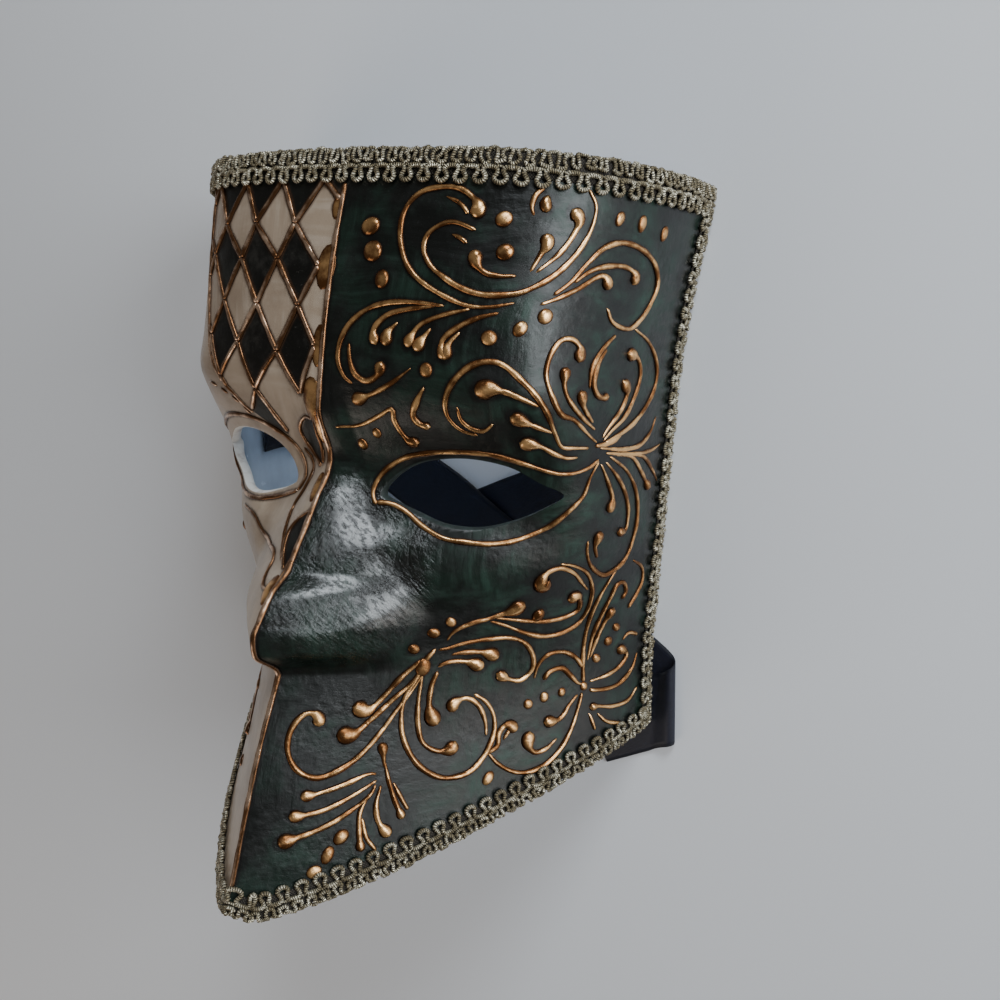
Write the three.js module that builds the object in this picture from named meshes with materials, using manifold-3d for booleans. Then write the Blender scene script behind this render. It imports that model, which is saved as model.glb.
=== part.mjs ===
import * as THREE from 'three';
import Module from 'manifold-3d';
import { mergeVertices } from 'three/addons/utils/BufferGeometryUtils.js';

// A carnival face mask, lying face up on its two side edges. Millimetres.
// +X is the mask's left side as its wearer has it, +Y is toward the forehead, +Z is out of the face.
// The origin is on the ground below the middle of the mask.

// Thickness of the moulded shell, across its sides and across its front.
const SIDE_THICKNESS = 2.8;
const FRONT_THICKNESS = 3.4;

// The trim folded over the rim: its clearance to the shell, its thickness and its two legs.
const TRIM_GAP = 0.3;
const TRIM_THICKNESS = 1.2;
const TRIM_FRONT_LEG = 6.4;
const TRIM_BACK_LEG = 5.0;

// Where the folded ribbon passes under the +X rear corner, the trim's underside is pressed up to this height.
const PRESSED_HEIGHT = 1.05;
const PRESSED_BELOW = -37;

// The ribbons.
const RIBBON_WIDTH = 24;
const RIBBON_THICKNESS = 0.4;
const GROUND_GAP = 0.1;

// Height of the shell's side edges above the ground.
const LIFT = TRIM_GAP + TRIM_THICKNESS;

// Half the mask's width at five heights along the side edges.
const HALF_WIDTH_AT = [-71.6, -39.9, 5.1, 50.1, 101.0];
const HALF_WIDTH = [76.0, 74.4, 75.1, 76.2, 82.4];

// The cross-section at eight heights: how far its middle stands out, how much its front falls
// away toward the sides, and how square its shoulder is.
const SECTION_AT = [-107.3, -54.9, -31.9, -4.9, 16.1, 40.1, 70.1, 105.3];
const RIDGE = [123.2, 107.0, 97.2, 91.5, 74.0, 82.9, 79.0, 70.1];
const FALL = [0.43, 0.54, 0.56, 0.46, 0.33, 0.19, 0.16, 0.09];
const SHOULDER = [2.1, 1.7, 2.9, 6.8, 12.7, 10.0, 6.5, 4.8];
const SOFTENING = 9;
const CREASE_AT = [-31.9, 25.1, 70.1];
const CREASE = [1.0, 1.35, 2.0];

// The nose: its height over the face along the middle line, and its half width.
const NOSE_AT = [-39.1, -37.2, -30.2, -24.8, -21.9, -14.5, -9.1, -1.0, 9.4, 16.6, 22.4, 28.2, 33.1, 40.1, 46.0];
const NOSE_HEIGHT = [0, 1.8, 12.7, 14.5, 13.3, 9.2, 3.8, 3.2, 4.6, 2.6, 1.7, 2.4, 2.7, 0.9, 0];
const NOSE_WIDTH_AT = [-40, -25, -15, -5, 5, 16, 40];
const NOSE_WIDTH = [31, 34, 30, 21, 14, 10, 8];

// Soft swellings and hollows, each on both sides: middle x and y, half widths in x and y, height.
const SWELLINGS = [
  [23, -22, 7, 6, 2.6],
  [25, -8, 6, 5, -1.6],
  [24, 4, 9, 6, -2.2],
  [57, 2, 9, 8, -3.0],
  [64, 42.2, 9.5, 6.2, 1.8],
];

// The top rim's height at the middle and its drop toward the corners.
const TOP_RIM = 104.3;
const TOP_DROP = 3.3;

// The bottom rim runs from the chin up to the rear corners, with a little sag and a blunt tip.
const CHIN_RIM = -106.3;
const CORNER_RIM = -71.6;
const RIM_SAG = 15.9;
const CHIN_BLUNT = 4.0;
const CHIN_BLUNT_WIDTH = 0.05;

// The outline of an eye hole on the +X side, from the inner corner over the top.
const EYE_HOLE = [
  [15.4, 11.2], [18.0, 16.0], [25.0, 21.0], [34.0, 23.5], [43.0, 23.8], [52.0, 21.6], [58.0, 17.6], [63.2, 14.0],
  [58.5, 9.8], [51.0, 5.6], [43.5, 3.4], [34.0, 3.8], [25.6, 6.2], [19.4, 8.6],
];
const HOLE_DEPTH = [20, 110];

// Grid of the shell's faceted surfaces, and the rows gathered under the nose.
const COLUMNS = 36;
const ROWS = 40;
const ROW_GATHER = 1.6;
const ROW_GATHER_AT = 0.33;
const ROW_GATHER_WIDTH = 0.05;
const RIM_STEPS = 26;

// A curve through given values that never overshoots them.
function monotone(at, values) {
  const n = at.length;
  const slope = [];
  for (let i = 0; i < n - 1; i += 1) slope.push((values[i + 1] - values[i]) / (at[i + 1] - at[i]));
  const tangent = values.map((_, i) => {
    if (i === 0 || i === n - 1) return slope[i === 0 ? 0 : n - 2];
    if (slope[i - 1] * slope[i] <= 0) return 0;
    const before = at[i] - at[i - 1];
    const after = at[i + 1] - at[i];
    const near = 2 * after + before;
    const far = after + 2 * before;
    return (near + far) / (near / slope[i - 1] + far / slope[i]);
  });
  return (position) => {
    const p = Math.min(Math.max(position, at[0]), at[n - 1]);
    let i = 0;
    while (i < n - 2 && p > at[i + 1]) i += 1;
    const span = at[i + 1] - at[i];
    const t = (p - at[i]) / span;
    const rest = 1 - t;
    return values[i] * (1 + 2 * t) * rest * rest + tangent[i] * span * t * rest * rest
      + values[i + 1] * t * t * (3 - 2 * t) - tangent[i + 1] * span * t * t * rest;
  };
}

// The mean of a curve over a short stretch, which takes the kinks out of it.
function softened(curve) {
  return (position) => {
    let sum = 0;
    for (const share of [-1, -0.5, 0, 0.5, 1]) sum += curve(position + share * SOFTENING);
    return sum / 5;
  };
}

// Straight lines between given values.
function linear(at, values) {
  return (position) => {
    const p = Math.min(Math.max(position, at[0]), at[at.length - 1]);
    let i = 0;
    while (i < at.length - 2 && p > at[i + 1]) i += 1;
    return values[i] + (values[i + 1] - values[i]) * (p - at[i]) / (at[i + 1] - at[i]);
  };
}

const halfWidth = monotone(HALF_WIDTH_AT, HALF_WIDTH);
const ridge = softened(monotone(SECTION_AT, RIDGE));
const fall = softened(monotone(SECTION_AT, FALL));
const shoulder = softened(monotone(SECTION_AT, SHOULDER));
const crease = linear(CREASE_AT, CREASE);
const noseHeight = monotone(NOSE_AT, NOSE_HEIGHT);
const noseWidth = linear(NOSE_WIDTH_AT, NOSE_WIDTH);

// The rims, as heights across the mask: u runs from 0 on the middle line to 1 on a side edge.
function topRim(u) {
  return TOP_RIM - TOP_DROP * (1 - Math.sqrt(Math.max(0, 1 - u * u)));
}

function bottomRim(u) {
  const side = Math.abs(u);
  return CHIN_RIM + (CORNER_RIM - CHIN_RIM) * side - RIM_SAG * side * (1 - side)
    + CHIN_BLUNT * Math.exp(-((side / CHIN_BLUNT_WIDTH) ** 2));
}

// Height of the plain section, and what the nose and the swellings add to it.
function sectionHeight(u, y) {
  const side = Math.abs(u);
  return ridge(y) * (1 - fall(y) * side ** crease(y)) * Math.sqrt(Math.max(0, 1 - side ** shoulder(y)));
}

function relief(x, y) {
  const side = Math.abs(x);
  let height = 0;
  if (y > NOSE_AT[0] && y < NOSE_AT[NOSE_AT.length - 1]) {
    const across = side / noseWidth(y);
    if (across < 1) height += noseHeight(y) * (1 - across * across) ** 1.5;
  }
  for (const [middleX, middleY, widthX, widthY, amount] of SWELLINGS) {
    height += amount * Math.exp(-(((side - middleX) / widthX) ** 2) - ((y - middleY) / widthY) ** 2);
  }
  return height;
}

// Fades the relief out at the side edges, so that they stay straight.
function edgeFade(u) {
  return 1 - Math.abs(u) ** 8;
}

function outerPoint(u, y) {
  const x = halfWidth(y) * u;
  return new THREE.Vector3(x, y, LIFT + sectionHeight(u, y) + relief(x, y) * edgeFade(u));
}

function innerPoint(u, y) {
  const outer = outerPoint(u, y);
  const inward = 1 - FRONT_THICKNESS / ridge(y);
  return new THREE.Vector3((halfWidth(y) - SIDE_THICKNESS) * u, y, LIFT + (outer.z - LIFT) * inward);
}

// The side position at a given height up the side wall.
function sideAtHeight(height, y) {
  const wall = ridge(y) * (1 - fall(y));
  return (1 - (height / wall) ** 2) ** (1 / shoulder(y));
}

// Rows from the bottom rim (0) to the top rim (1), closer together under the nose.
function rowPositions() {
  const samples = 400;
  const sums = [0];
  for (let i = 0; i < samples; i += 1) {
    const q = (i + 0.5) / samples;
    sums.push(sums[i] + 1 + ROW_GATHER * Math.exp(-(((q - ROW_GATHER_AT) / ROW_GATHER_WIDTH) ** 2)));
  }
  const rows = [];
  for (let i = 0; i <= ROWS; i += 1) {
    const wanted = (sums[samples] * i) / ROWS;
    let j = 0;
    while (j < samples - 1 && sums[j + 1] < wanted) j += 1;
    rows.push((j + (wanted - sums[j]) / (sums[j + 1] - sums[j])) / samples);
  }
  return rows;
}

function columnPositions() {
  const columns = [];
  for (let i = 0; i <= COLUMNS; i += 1) columns.push(Math.sin(Math.PI * (i / COLUMNS - 0.5)));
  return columns;
}

function indexedGeometry(points, triangles) {
  const geometry = new THREE.BufferGeometry();
  const flat = [];
  for (const point of points) flat.push(point.x, point.y, point.z);
  geometry.setAttribute('position', new THREE.Float32BufferAttribute(flat, 3));
  geometry.setIndex(triangles);
  return geometry;
}

// The closed shell: an outer and an inner grid, joined along all four rims.
function shellGeometry() {
  const columns = columnPositions();
  const rows = rowPositions();
  const points = [];
  const wide = columns.length;
  const high = rows.length;
  for (const pointAt of [outerPoint, innerPoint]) {
    for (const q of rows) {
      for (const u of columns) {
        const y = bottomRim(u) + (topRim(u) - bottomRim(u)) * q;
        points.push(pointAt(u, y));
      }
    }
  }
  const layer = wide * high;
  const triangles = [];
  const quad = (a, b, c, d) => triangles.push(a, b, c, a, c, d);
  for (let j = 0; j < high - 1; j += 1) {
    for (let i = 0; i < wide - 1; i += 1) {
      const a = j * wide + i;
      quad(a, a + 1, a + wide + 1, a + wide);
      quad(layer + a, layer + a + wide, layer + a + wide + 1, layer + a + 1);
    }
  }
  const last = (high - 1) * wide;
  for (let i = 0; i < wide - 1; i += 1) {
    quad(i, layer + i, layer + i + 1, i + 1);
    quad(last + i, last + i + 1, layer + last + i + 1, layer + last + i);
  }
  for (let j = 0; j < high - 1; j += 1) {
    const left = j * wide;
    const right = left + wide - 1;
    quad(left, left + wide, layer + left + wide, layer + left);
    quad(right, layer + right, layer + right + wide, right + wide);
  }
  return indexedGeometry(points, triangles);
}

// A prism through the front, with the outline of an eye hole.
function eyeCutter(mirror) {
  const outline = new THREE.Shape(EYE_HOLE.map(([x, y]) => new THREE.Vector2(mirror * x, y)));
  const geometry = new THREE.ExtrudeGeometry(outline, {
    depth: HOLE_DEPTH[1] - HOLE_DEPTH[0],
    bevelEnabled: false,
    steps: 1,
  });
  geometry.translate(0, 0, HOLE_DEPTH[0]);
  return geometry;
}

// Stations around the rim: where each lies on it, and which way is outward there.
function rimStations() {
  const stations = [];
  const columns = columnPositions();
  const up = new THREE.Vector3(0, 1, 0);
  const down = new THREE.Vector3(0, -1, 0);
  const ground = new THREE.Vector3(0, 0, -1);
  const add = (across, along, outward) => stations.push({ across, along, outward });
  const corner = (vertical) => vertical.clone().add(ground);
  for (let i = 1; i < COLUMNS; i += 1) add(columns[i], 0, down);
  add(1, 0, corner(down));
  for (let i = 1; i < RIM_STEPS; i += 1) add(1, i / RIM_STEPS, ground);
  add(1, 1, corner(up));
  for (let i = COLUMNS - 1; i > 0; i -= 1) add(columns[i], 1, up);
  add(-1, 1, corner(up));
  for (let i = RIM_STEPS - 1; i > 0; i -= 1) add(-1, i / RIM_STEPS, ground);
  add(-1, 0, corner(down));
  return stations;
}

// The parameters of a point that lies a given depth inside the rim at a station.
function insetAt(station, depth) {
  const guess = CORNER_RIM + (TOP_RIM - TOP_DROP - CORNER_RIM) * station.along;
  const limit = sideAtHeight(depth, guess);
  const u = station.across * limit;
  const low = bottomRim(u) + depth;
  const high = topRim(u) - depth;
  return [u, low + (high - low) * station.along];
}

function surfaceNormal(pointAt, u, y) {
  const step = 0.004;
  const side = Math.min(Math.max(u, step - 1), 1 - step);
  const across = pointAt(side + step, y).sub(pointAt(side - step, y));
  const along = pointAt(side, y + 1).sub(pointAt(side, y - 1));
  return across.cross(along).normalize();
}

// Height of the trim's flat underside.
function undersideAt(point) {
  return point.x > 0 && point.y < PRESSED_BELOW ? PRESSED_HEIGHT : 0;
}

// The trim: a folded band swept once around the rim.
function trimGeometry() {
  const points = [];
  const stations = rimStations();
  const far = TRIM_GAP + TRIM_THICKNESS;
  for (const station of stations) {
    const place = (pointAt, depth, offset, beyond) => {
      const [u, y] = insetAt(station, depth);
      const normal = surfaceNormal(pointAt, u, y);
      const point = pointAt(u, y).addScaledVector(normal, offset).addScaledVector(station.outward, beyond);
      if (station.outward.z < 0 && beyond === far) point.z = undersideAt(point);
      return point;
    };
    points.push(place(outerPoint, TRIM_FRONT_LEG, TRIM_GAP, 0));
    points.push(place(outerPoint, TRIM_FRONT_LEG, far, 0));
    points.push(place(outerPoint, TRIM_FRONT_LEG / 2, far, 0));
    points.push(place(outerPoint, 0, far, 0));
    points.push(place(outerPoint, 0, TRIM_GAP, far));
    points.push(place(innerPoint, 0, -TRIM_GAP, far));
    points.push(place(innerPoint, 0, -far, 0));
    points.push(place(innerPoint, TRIM_BACK_LEG, -far, 0));
    points.push(place(innerPoint, TRIM_BACK_LEG, -TRIM_GAP, 0));
    points.push(place(innerPoint, 0, -TRIM_GAP, TRIM_GAP));
    points.push(place(outerPoint, 0, TRIM_GAP, TRIM_GAP));
    points.push(place(outerPoint, TRIM_FRONT_LEG / 2, TRIM_GAP, 0));
  }
  const sides = 12;
  const triangles = [];
  for (let i = 0; i < stations.length; i += 1) {
    const next = (i + 1) % stations.length;
    for (let k = 0; k < sides; k += 1) {
      const side = (k + 1) % sides;
      const a = i * sides + k;
      const b = i * sides + side;
      const c = next * sides + side;
      const d = next * sides + k;
      triangles.push(a, b, c, a, c, d);
    }
  }
  return indexedGeometry(points, triangles);
}

// A ribbon: its middle line, and the way its sections lie at each of the same stations. A slanting
// section is longer, so that the ribbon keeps its width.
function ribbonGeometry(route) {
  const middle = new THREE.CatmullRomCurve3(route.map((stop) => new THREE.Vector3(...stop.at)));
  const widths = new THREE.CatmullRomCurve3(route.map((stop) => new THREE.Vector3(...stop.width).normalize()));
  const steps = 5 * (route.length - 1);
  const points = [];
  for (let i = 0; i <= steps; i += 1) {
    const t = i / steps;
    const centre = middle.getPoint(t);
    const forward = middle.getPoint(Math.min(1, t + 0.004)).sub(middle.getPoint(Math.max(0, t - 0.004))).normalize();
    const width = widths.getPoint(t).normalize();
    const half = RIBBON_WIDTH / 2 / Math.sqrt(1 - width.dot(forward) ** 2);
    const normal = forward.clone().cross(width).normalize();
    for (const [side, face] of [[-1, -1], [1, -1], [1, 1], [-1, 1]]) {
      const point = centre.clone()
        .addScaledVector(width, side * half)
        .addScaledVector(normal, face * RIBBON_THICKNESS / 2);
      const lowest = GROUND_GAP + (face * normal.z > 0 ? RIBBON_THICKNESS : 0);
      point.z = Math.max(point.z, lowest);
      points.push(point);
    }
  }
  const triangles = [];
  for (let i = 0; i < steps; i += 1) {
    for (let k = 0; k < 4; k += 1) {
      const a = i * 4 + k;
      const b = i * 4 + ((k + 1) % 4);
      triangles.push(a, b, b + 4, a, b + 4, a + 4);
    }
  }
  const end = steps * 4;
  triangles.push(0, 2, 1, 0, 3, 2, end, end + 1, end + 2, end, end + 2, end + 3);
  return indexedGeometry(points, triangles);
}

// The ribbon glued in the -X temple crosses below the eyes, leaves under the +X rear corner, folds over
// outside it and comes back over itself.
const LONG_RIBBON = [
  { at: [-67.4, 20, 33], width: [0, 1, 0] },
  { at: [-69.9, 20, 21], width: [0, 1, 0] },
  { at: [-67.8, 19.5, 10.5], width: [0.1, 1, 0] },
  { at: [-58, 17, 2.6], width: [0.3, 1, 0] },
  { at: [-38, 8, 1.6], width: [0.5, 1, 0] },
  { at: [-9, -6.5, 1.6], width: [0.6, 0.85, 0] },
  { at: [22, -25.3, 1.5], width: [0.53, 0.85, 0] },
  { at: [46, -39, 0.6], width: [0.4, 0.9, 0] },
  { at: [64, -49.3, 0.3], width: [0.15, 1, 0] },
  { at: [75, -56.3, 0.3], width: [-0.04, 1, 0] },
  { at: [83.4, -61.9, 0.3], width: [-0.08, 1, 0] },
  { at: [84.6, -62.7, 0.77], width: [-0.08, 1, 0] },
  { at: [85.1, -63.4, 1.9], width: [-0.08, 1, 0] },
  { at: [84.6, -64.2, 3.03], width: [-0.08, 1, 0] },
  { at: [83.4, -65, 3.5], width: [-0.08, 1, 0] },
  { at: [81, -66.6, 2.4], width: [-0.04, 1, 0] },
  { at: [78.4, -68.3, 1.05], width: [0, 1, 0] },
  { at: [75.2, -70.3, 0.8], width: [0, 1, 0] },
  { at: [66, -75.8, 0.8], width: [-0.1, 1, 0] },
  { at: [56, -81.6, 0.8], width: [-0.52, 0.855, 0] },
];

// The ribbon glued in the +X temple runs below the other one and ends outside the -X rear corner.
const SHORT_RIBBON = [
  { at: [67.2, 16, 33], width: [0, -1, 0] },
  { at: [69.8, 16, 21], width: [0, -1, 0] },
  { at: [67.6, 15, 10.5], width: [0.1, -1, 0] },
  { at: [58, 11.5, 2.4], width: [0.35, -1, 0] },
  { at: [40, 2.8, 0.7], width: [0.45, -0.9, 0] },
  { at: [16, -8.6, 0.5], width: [0.45, -0.9, 0] },
  { at: [-12, -24, 0.5], width: [0.6, -0.8, 0] },
  { at: [-34, -47, 0.5], width: [0.85, -0.6, 0] },
  { at: [-48, -74, 0.5], width: [0.8, -0.6, 0] },
  { at: [-66, -89, 0.5], width: [0.3, -0.95, 0] },
  { at: [-78, -91.8, 0.5], width: [0, -1, 0] },
  { at: [-86.4, -92, 0.5], width: [0, -1, 0] },
];

const wasm = await Module();
wasm.setup();

function toSolid(geometry) {
  const bare = geometry.clone();
  bare.deleteAttribute('normal');
  bare.deleteAttribute('uv');
  const merged = mergeVertices(bare, 1e-4);
  return new wasm.Manifold(new wasm.Mesh({
    numProp: 3,
    vertProperties: new Float32Array(merged.attributes.position.array),
    triVerts: new Uint32Array(merged.index.array),
  }));
}

function toGeometry(solid) {
  const mesh = solid.getMesh();
  const geometry = new THREE.BufferGeometry();
  geometry.setAttribute('position', new THREE.BufferAttribute(new Float32Array(mesh.vertProperties), 3));
  geometry.setIndex(new THREE.BufferAttribute(new Uint32Array(mesh.triVerts), 1));
  return geometry;
}

const lacquer = new THREE.MeshStandardMaterial({ color: 0x1d2a26, roughness: 0.35, metalness: 0.0 });
const metalBraid = new THREE.MeshStandardMaterial({ color: 0x9a8d68, roughness: 0.45, metalness: 0.7 });
const satin = new THREE.MeshStandardMaterial({ color: 0x12121c, roughness: 0.4, metalness: 0.0 });

const mask = new THREE.Group();

function addPiece(name, geometry, material) {
  geometry.computeVertexNormals();
  const mesh = new THREE.Mesh(geometry, material);
  mesh.name = name;
  mask.add(mesh);
}

const shell = toSolid(shellGeometry())
  .subtract(toSolid(eyeCutter(1)))
  .subtract(toSolid(eyeCutter(-1)));

addPiece('mask_shell', toGeometry(shell), lacquer);
addPiece('edge_braid', trimGeometry(), metalBraid);
addPiece('ribbon_long', ribbonGeometry(LONG_RIBBON), satin);
addPiece('ribbon_short', ribbonGeometry(SHORT_RIBBON), satin);

export default mask;
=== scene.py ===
"""A half-and-half harlequin carnival mask, lying face up on its side edges.

Sizes are in millimetres in the model's own frame (+X the viewer's right, +Y the forehead, +Z out of
the face) until a mesh is made, which turns them into metres.
"""

import logging
import math
from collections.abc import Callable
from dataclasses import dataclass, field, replace
from enum import Enum

import bpy
import numpy as np
from mathutils import Matrix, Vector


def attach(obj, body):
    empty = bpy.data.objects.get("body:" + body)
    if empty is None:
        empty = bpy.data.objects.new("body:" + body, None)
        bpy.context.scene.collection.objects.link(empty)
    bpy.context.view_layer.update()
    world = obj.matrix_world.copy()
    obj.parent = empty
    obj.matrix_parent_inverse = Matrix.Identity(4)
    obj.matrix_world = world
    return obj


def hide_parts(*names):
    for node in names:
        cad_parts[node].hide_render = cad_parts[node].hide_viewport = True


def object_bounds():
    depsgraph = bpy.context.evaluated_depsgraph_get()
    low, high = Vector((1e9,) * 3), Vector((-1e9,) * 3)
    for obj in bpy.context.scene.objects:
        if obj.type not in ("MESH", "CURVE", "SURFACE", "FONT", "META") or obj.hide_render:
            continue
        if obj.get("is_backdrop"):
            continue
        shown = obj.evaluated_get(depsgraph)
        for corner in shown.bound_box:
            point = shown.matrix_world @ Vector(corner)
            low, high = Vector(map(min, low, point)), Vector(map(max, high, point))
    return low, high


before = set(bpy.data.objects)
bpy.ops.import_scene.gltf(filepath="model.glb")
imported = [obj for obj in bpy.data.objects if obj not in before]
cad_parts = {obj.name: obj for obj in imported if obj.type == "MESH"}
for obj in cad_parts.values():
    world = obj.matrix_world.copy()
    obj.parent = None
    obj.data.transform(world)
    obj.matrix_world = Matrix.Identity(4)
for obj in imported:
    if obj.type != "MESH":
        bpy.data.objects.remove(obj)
CAD_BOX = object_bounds()

Array = np.ndarray
Pair = tuple[float, float]
Triple = tuple[float, float, float]
Row = tuple[float, ...]
Tree = bpy.types.NodeTree
Socket = bpy.types.NodeSocket
Item = bpy.types.Object
Material = bpy.types.Material

LOG = logging.getLogger("mask")
MM = 0.001
BODY = "root"
SEED = 7
FULL_TURN = 2 * math.pi
# The end of the span that random phases are drawn from
ANY_PHASE = 6.28
# The least length or slope that is divided by
TINY = 1e-9
# What keeps knots apart, lengths inside their range and signs off zero
SMALL = 1e-6
# A distance in millimetres at which a mark on the mesh has no more effect
FAR = 9.0
# The farthest u from the middle at which raised work stands
EDGE_U = 0.999


# Curves and small array helpers

def monotone(at: Row, values: Row) -> Callable[[Array], Array]:
    """A cubic curve through given values that never overshoots them.

    The tangent at an inner value is the weighted harmonic mean of the slopes beside it, or zero where
    they differ in sign; each span is a Hermite cubic.

    Args:
        at: Where the values stand, increasing.
        values: The values.

    Returns:
        A function of an array, held constant beyond both ends.
    """
    x = np.array(at)
    v = np.array(values)
    step = np.diff(x)
    slope = np.diff(v) / step
    tangent = np.concatenate([slope[:1], np.zeros(len(x) - 2), slope[-1:]])
    before, after = slope[:-1], slope[1:]
    near, far = 2 * step[1:] + step[:-1], step[1:] + 2 * step[:-1]
    same = before * after > 0
    safe_before = np.where(same, before, 1.0)
    safe_after = np.where(same, after, 1.0)
    tangent[1:-1] = np.where(same, (near + far) / (near / safe_before + far / safe_after), 0.0)

    def curve(position: Array) -> Array:
        """The value at each position."""
        p = np.clip(position, x[0], x[-1])
        i = np.clip(np.searchsorted(x, p, side="right") - 1, 0, len(x) - 2)
        t = (p - x[i]) / step[i]
        rest = 1 - t
        return (v[i] * (1 + 2 * t) * rest**2 + tangent[i] * step[i] * t * rest**2
                + v[i + 1] * t**2 * (3 - 2 * t) - tangent[i + 1] * step[i] * t**2 * rest)

    return curve


def smoothstep(low: float, high: float, value: Array | float) -> Array:
    """Rises from 0 at low to 1 at high as 3t² - 2t³."""
    t = np.clip((value - low) / (high - low), 0, 1)
    return t * t * (3 - 2 * t)


def unit(vectors: Array) -> Array:
    """Each vector over its own length."""
    return vectors / np.maximum(np.linalg.norm(vectors, axis=-1, keepdims=True), TINY)


def spline(stops: Array, per_span: int, closed: bool = False) -> Array:
    """Points on the Catmull-Rom curve through the stops, knots spaced by the root of the stop distance.

    Args:
        stops: (n, d) points, the first two or three columns a position.
        per_span: Points made for each span.
        closed: Whether the curve returns to its start.

    Returns:
        (m, d) points, the last stop among them unless closed.
    """
    if closed:
        p = np.concatenate([stops[-1:], stops, stops[:2]])
    else:
        p = np.concatenate([2 * stops[:1] - stops[1:2], stops, 2 * stops[-1:] - stops[-2:-1]])
    gaps = np.sqrt(np.linalg.norm(np.diff(p[:, :3], axis=0), axis=1)) + SMALL
    knot = np.concatenate([[0], np.cumsum(gaps)])
    t = np.linspace(0, 1, per_span, endpoint=False)[None, :, None]
    k0, k1, k2, k3 = (knot[i:len(knot) - 3 + i][:, None, None] for i in range(4))
    p0, p1, p2, p3 = (p[i:len(p) - 3 + i][:, None, :] for i in range(4))
    k = k1 + (k2 - k1) * t
    a1 = ((k1 - k) * p0 + (k - k0) * p1) / (k1 - k0)
    a2 = ((k2 - k) * p1 + (k - k1) * p2) / (k2 - k1)
    a3 = ((k3 - k) * p2 + (k - k2) * p3) / (k3 - k2)
    b1 = ((k2 - k) * a1 + (k - k0) * a2) / (k2 - k0)
    b2 = ((k3 - k) * a2 + (k - k1) * a3) / (k3 - k1)
    points = (((k2 - k) * b1 + (k - k1) * b2) / (k2 - k1)).reshape(-1, p.shape[1])
    return points if closed else np.concatenate([points, stops[-1:]])


def lengths(points: Array) -> Array:
    """Length along the points up to each one."""
    return np.concatenate([[0], np.cumsum(np.linalg.norm(np.diff(points, axis=0), axis=1))])


def resampled(points: Array, at: Array) -> Array:
    """The points of a path at the given lengths along it."""
    along = lengths(points[:, :3])
    return np.stack([np.interp(at, along, points[:, i]) for i in range(points.shape[1])], axis=1)


def rolled_mean(values: Array, middle: float, rounds: int) -> Array:
    """Softens a closed row: each value becomes a mean of both neighbours and middle times itself."""
    for _ in range(rounds):
        before, after = np.roll(values, 1, axis=0), np.roll(values, -1, axis=0)
        values = (before + middle * values + after) / (middle + 2)
    return values


def outline_distance(points: Array, outline: Array) -> tuple[Array, Array]:
    """Distance to a closed outline of straight pieces, negative inside it.

    Args:
        points: (n, 2) points.
        outline: (k, 2) corners in order.

    Returns:
        The distance of each point, and the nearest place on the outline.
    """
    a = outline[None]
    d = np.roll(outline, -1, axis=0)[None] - a
    p = points[:, None]
    t = np.clip(((p - a) * d).sum(2) / np.maximum((d * d).sum(2), TINY), 0, 1)
    near = a + t[..., None] * d
    gap = np.linalg.norm(p - near, axis=2)
    best = gap.argmin(1)
    rows = np.arange(len(points))
    b = a + d
    spans = (a[..., 1] > p[..., 1]) != (b[..., 1] > p[..., 1])
    rise = np.where(np.abs(d[..., 1]) < TINY, TINY, d[..., 1])
    crosses = spans & (p[..., 0] < a[..., 0] + (p[..., 1] - a[..., 1]) * d[..., 0] / rise)
    inside = crosses.sum(1) % 2 == 1
    return np.where(inside, -1.0, 1.0) * gap[rows, best], near[rows, best]


# Placing a camera or light, and the camera that the raised work was read through

def set_up(name: str, data: bpy.types.ID, place: Array, axes: list[Array]) -> Item:
    """Puts a camera or light into the scene, at a place in metres and with its own three axes."""
    item = bpy.data.objects.new(name, data)
    item.matrix_world = Matrix.Translation(place) @ Matrix(np.array(axes).T.tolist()).to_4x4()
    bpy.context.scene.collection.objects.link(item)
    return item


@dataclass(frozen=True)
class Viewpoint:
    """A pinhole camera, placed in millimetres, with a square picture of picture_px.

    It sees nothing nearer than nearest, in metres.
    """

    place: Triple = (174.602, 70.878, 298.072)
    right: Triple = (0.8740662, 0.0459646, -0.4836275)
    up: Triple = (-0.1435751, 0.9754859, -0.1667736)
    ahead: Triple = (-0.4641061, -0.2152081, -0.8592386)
    focal_px: float = 964.05
    picture_px: float = 1000.0
    sensor: float = 36.0
    nearest: float = 0.01

    def rays(self, pixels: Array) -> Array:
        """Directions ahead + across · right + above · up, one for each pixel."""
        across = (pixels[:, :1] - self.picture_px / 2) / self.focal_px
        above = (self.picture_px / 2 - pixels[:, 1:2]) / self.focal_px
        return np.array(self.ahead) + across * np.array(self.right) + above * np.array(self.up)

    def build(self) -> None:
        """Makes the scene's camera."""
        data = bpy.data.cameras.new("view")
        data.sensor_width = self.sensor
        data.lens = self.sensor * self.focal_px / self.picture_px
        data.clip_start = self.nearest
        axes = np.array([self.right, self.up, self.ahead]) * [[1], [1], [-1]]
        bpy.context.scene.camera = set_up("view", data, np.array(self.place) * MM, axes)


# The moulded form

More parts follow.
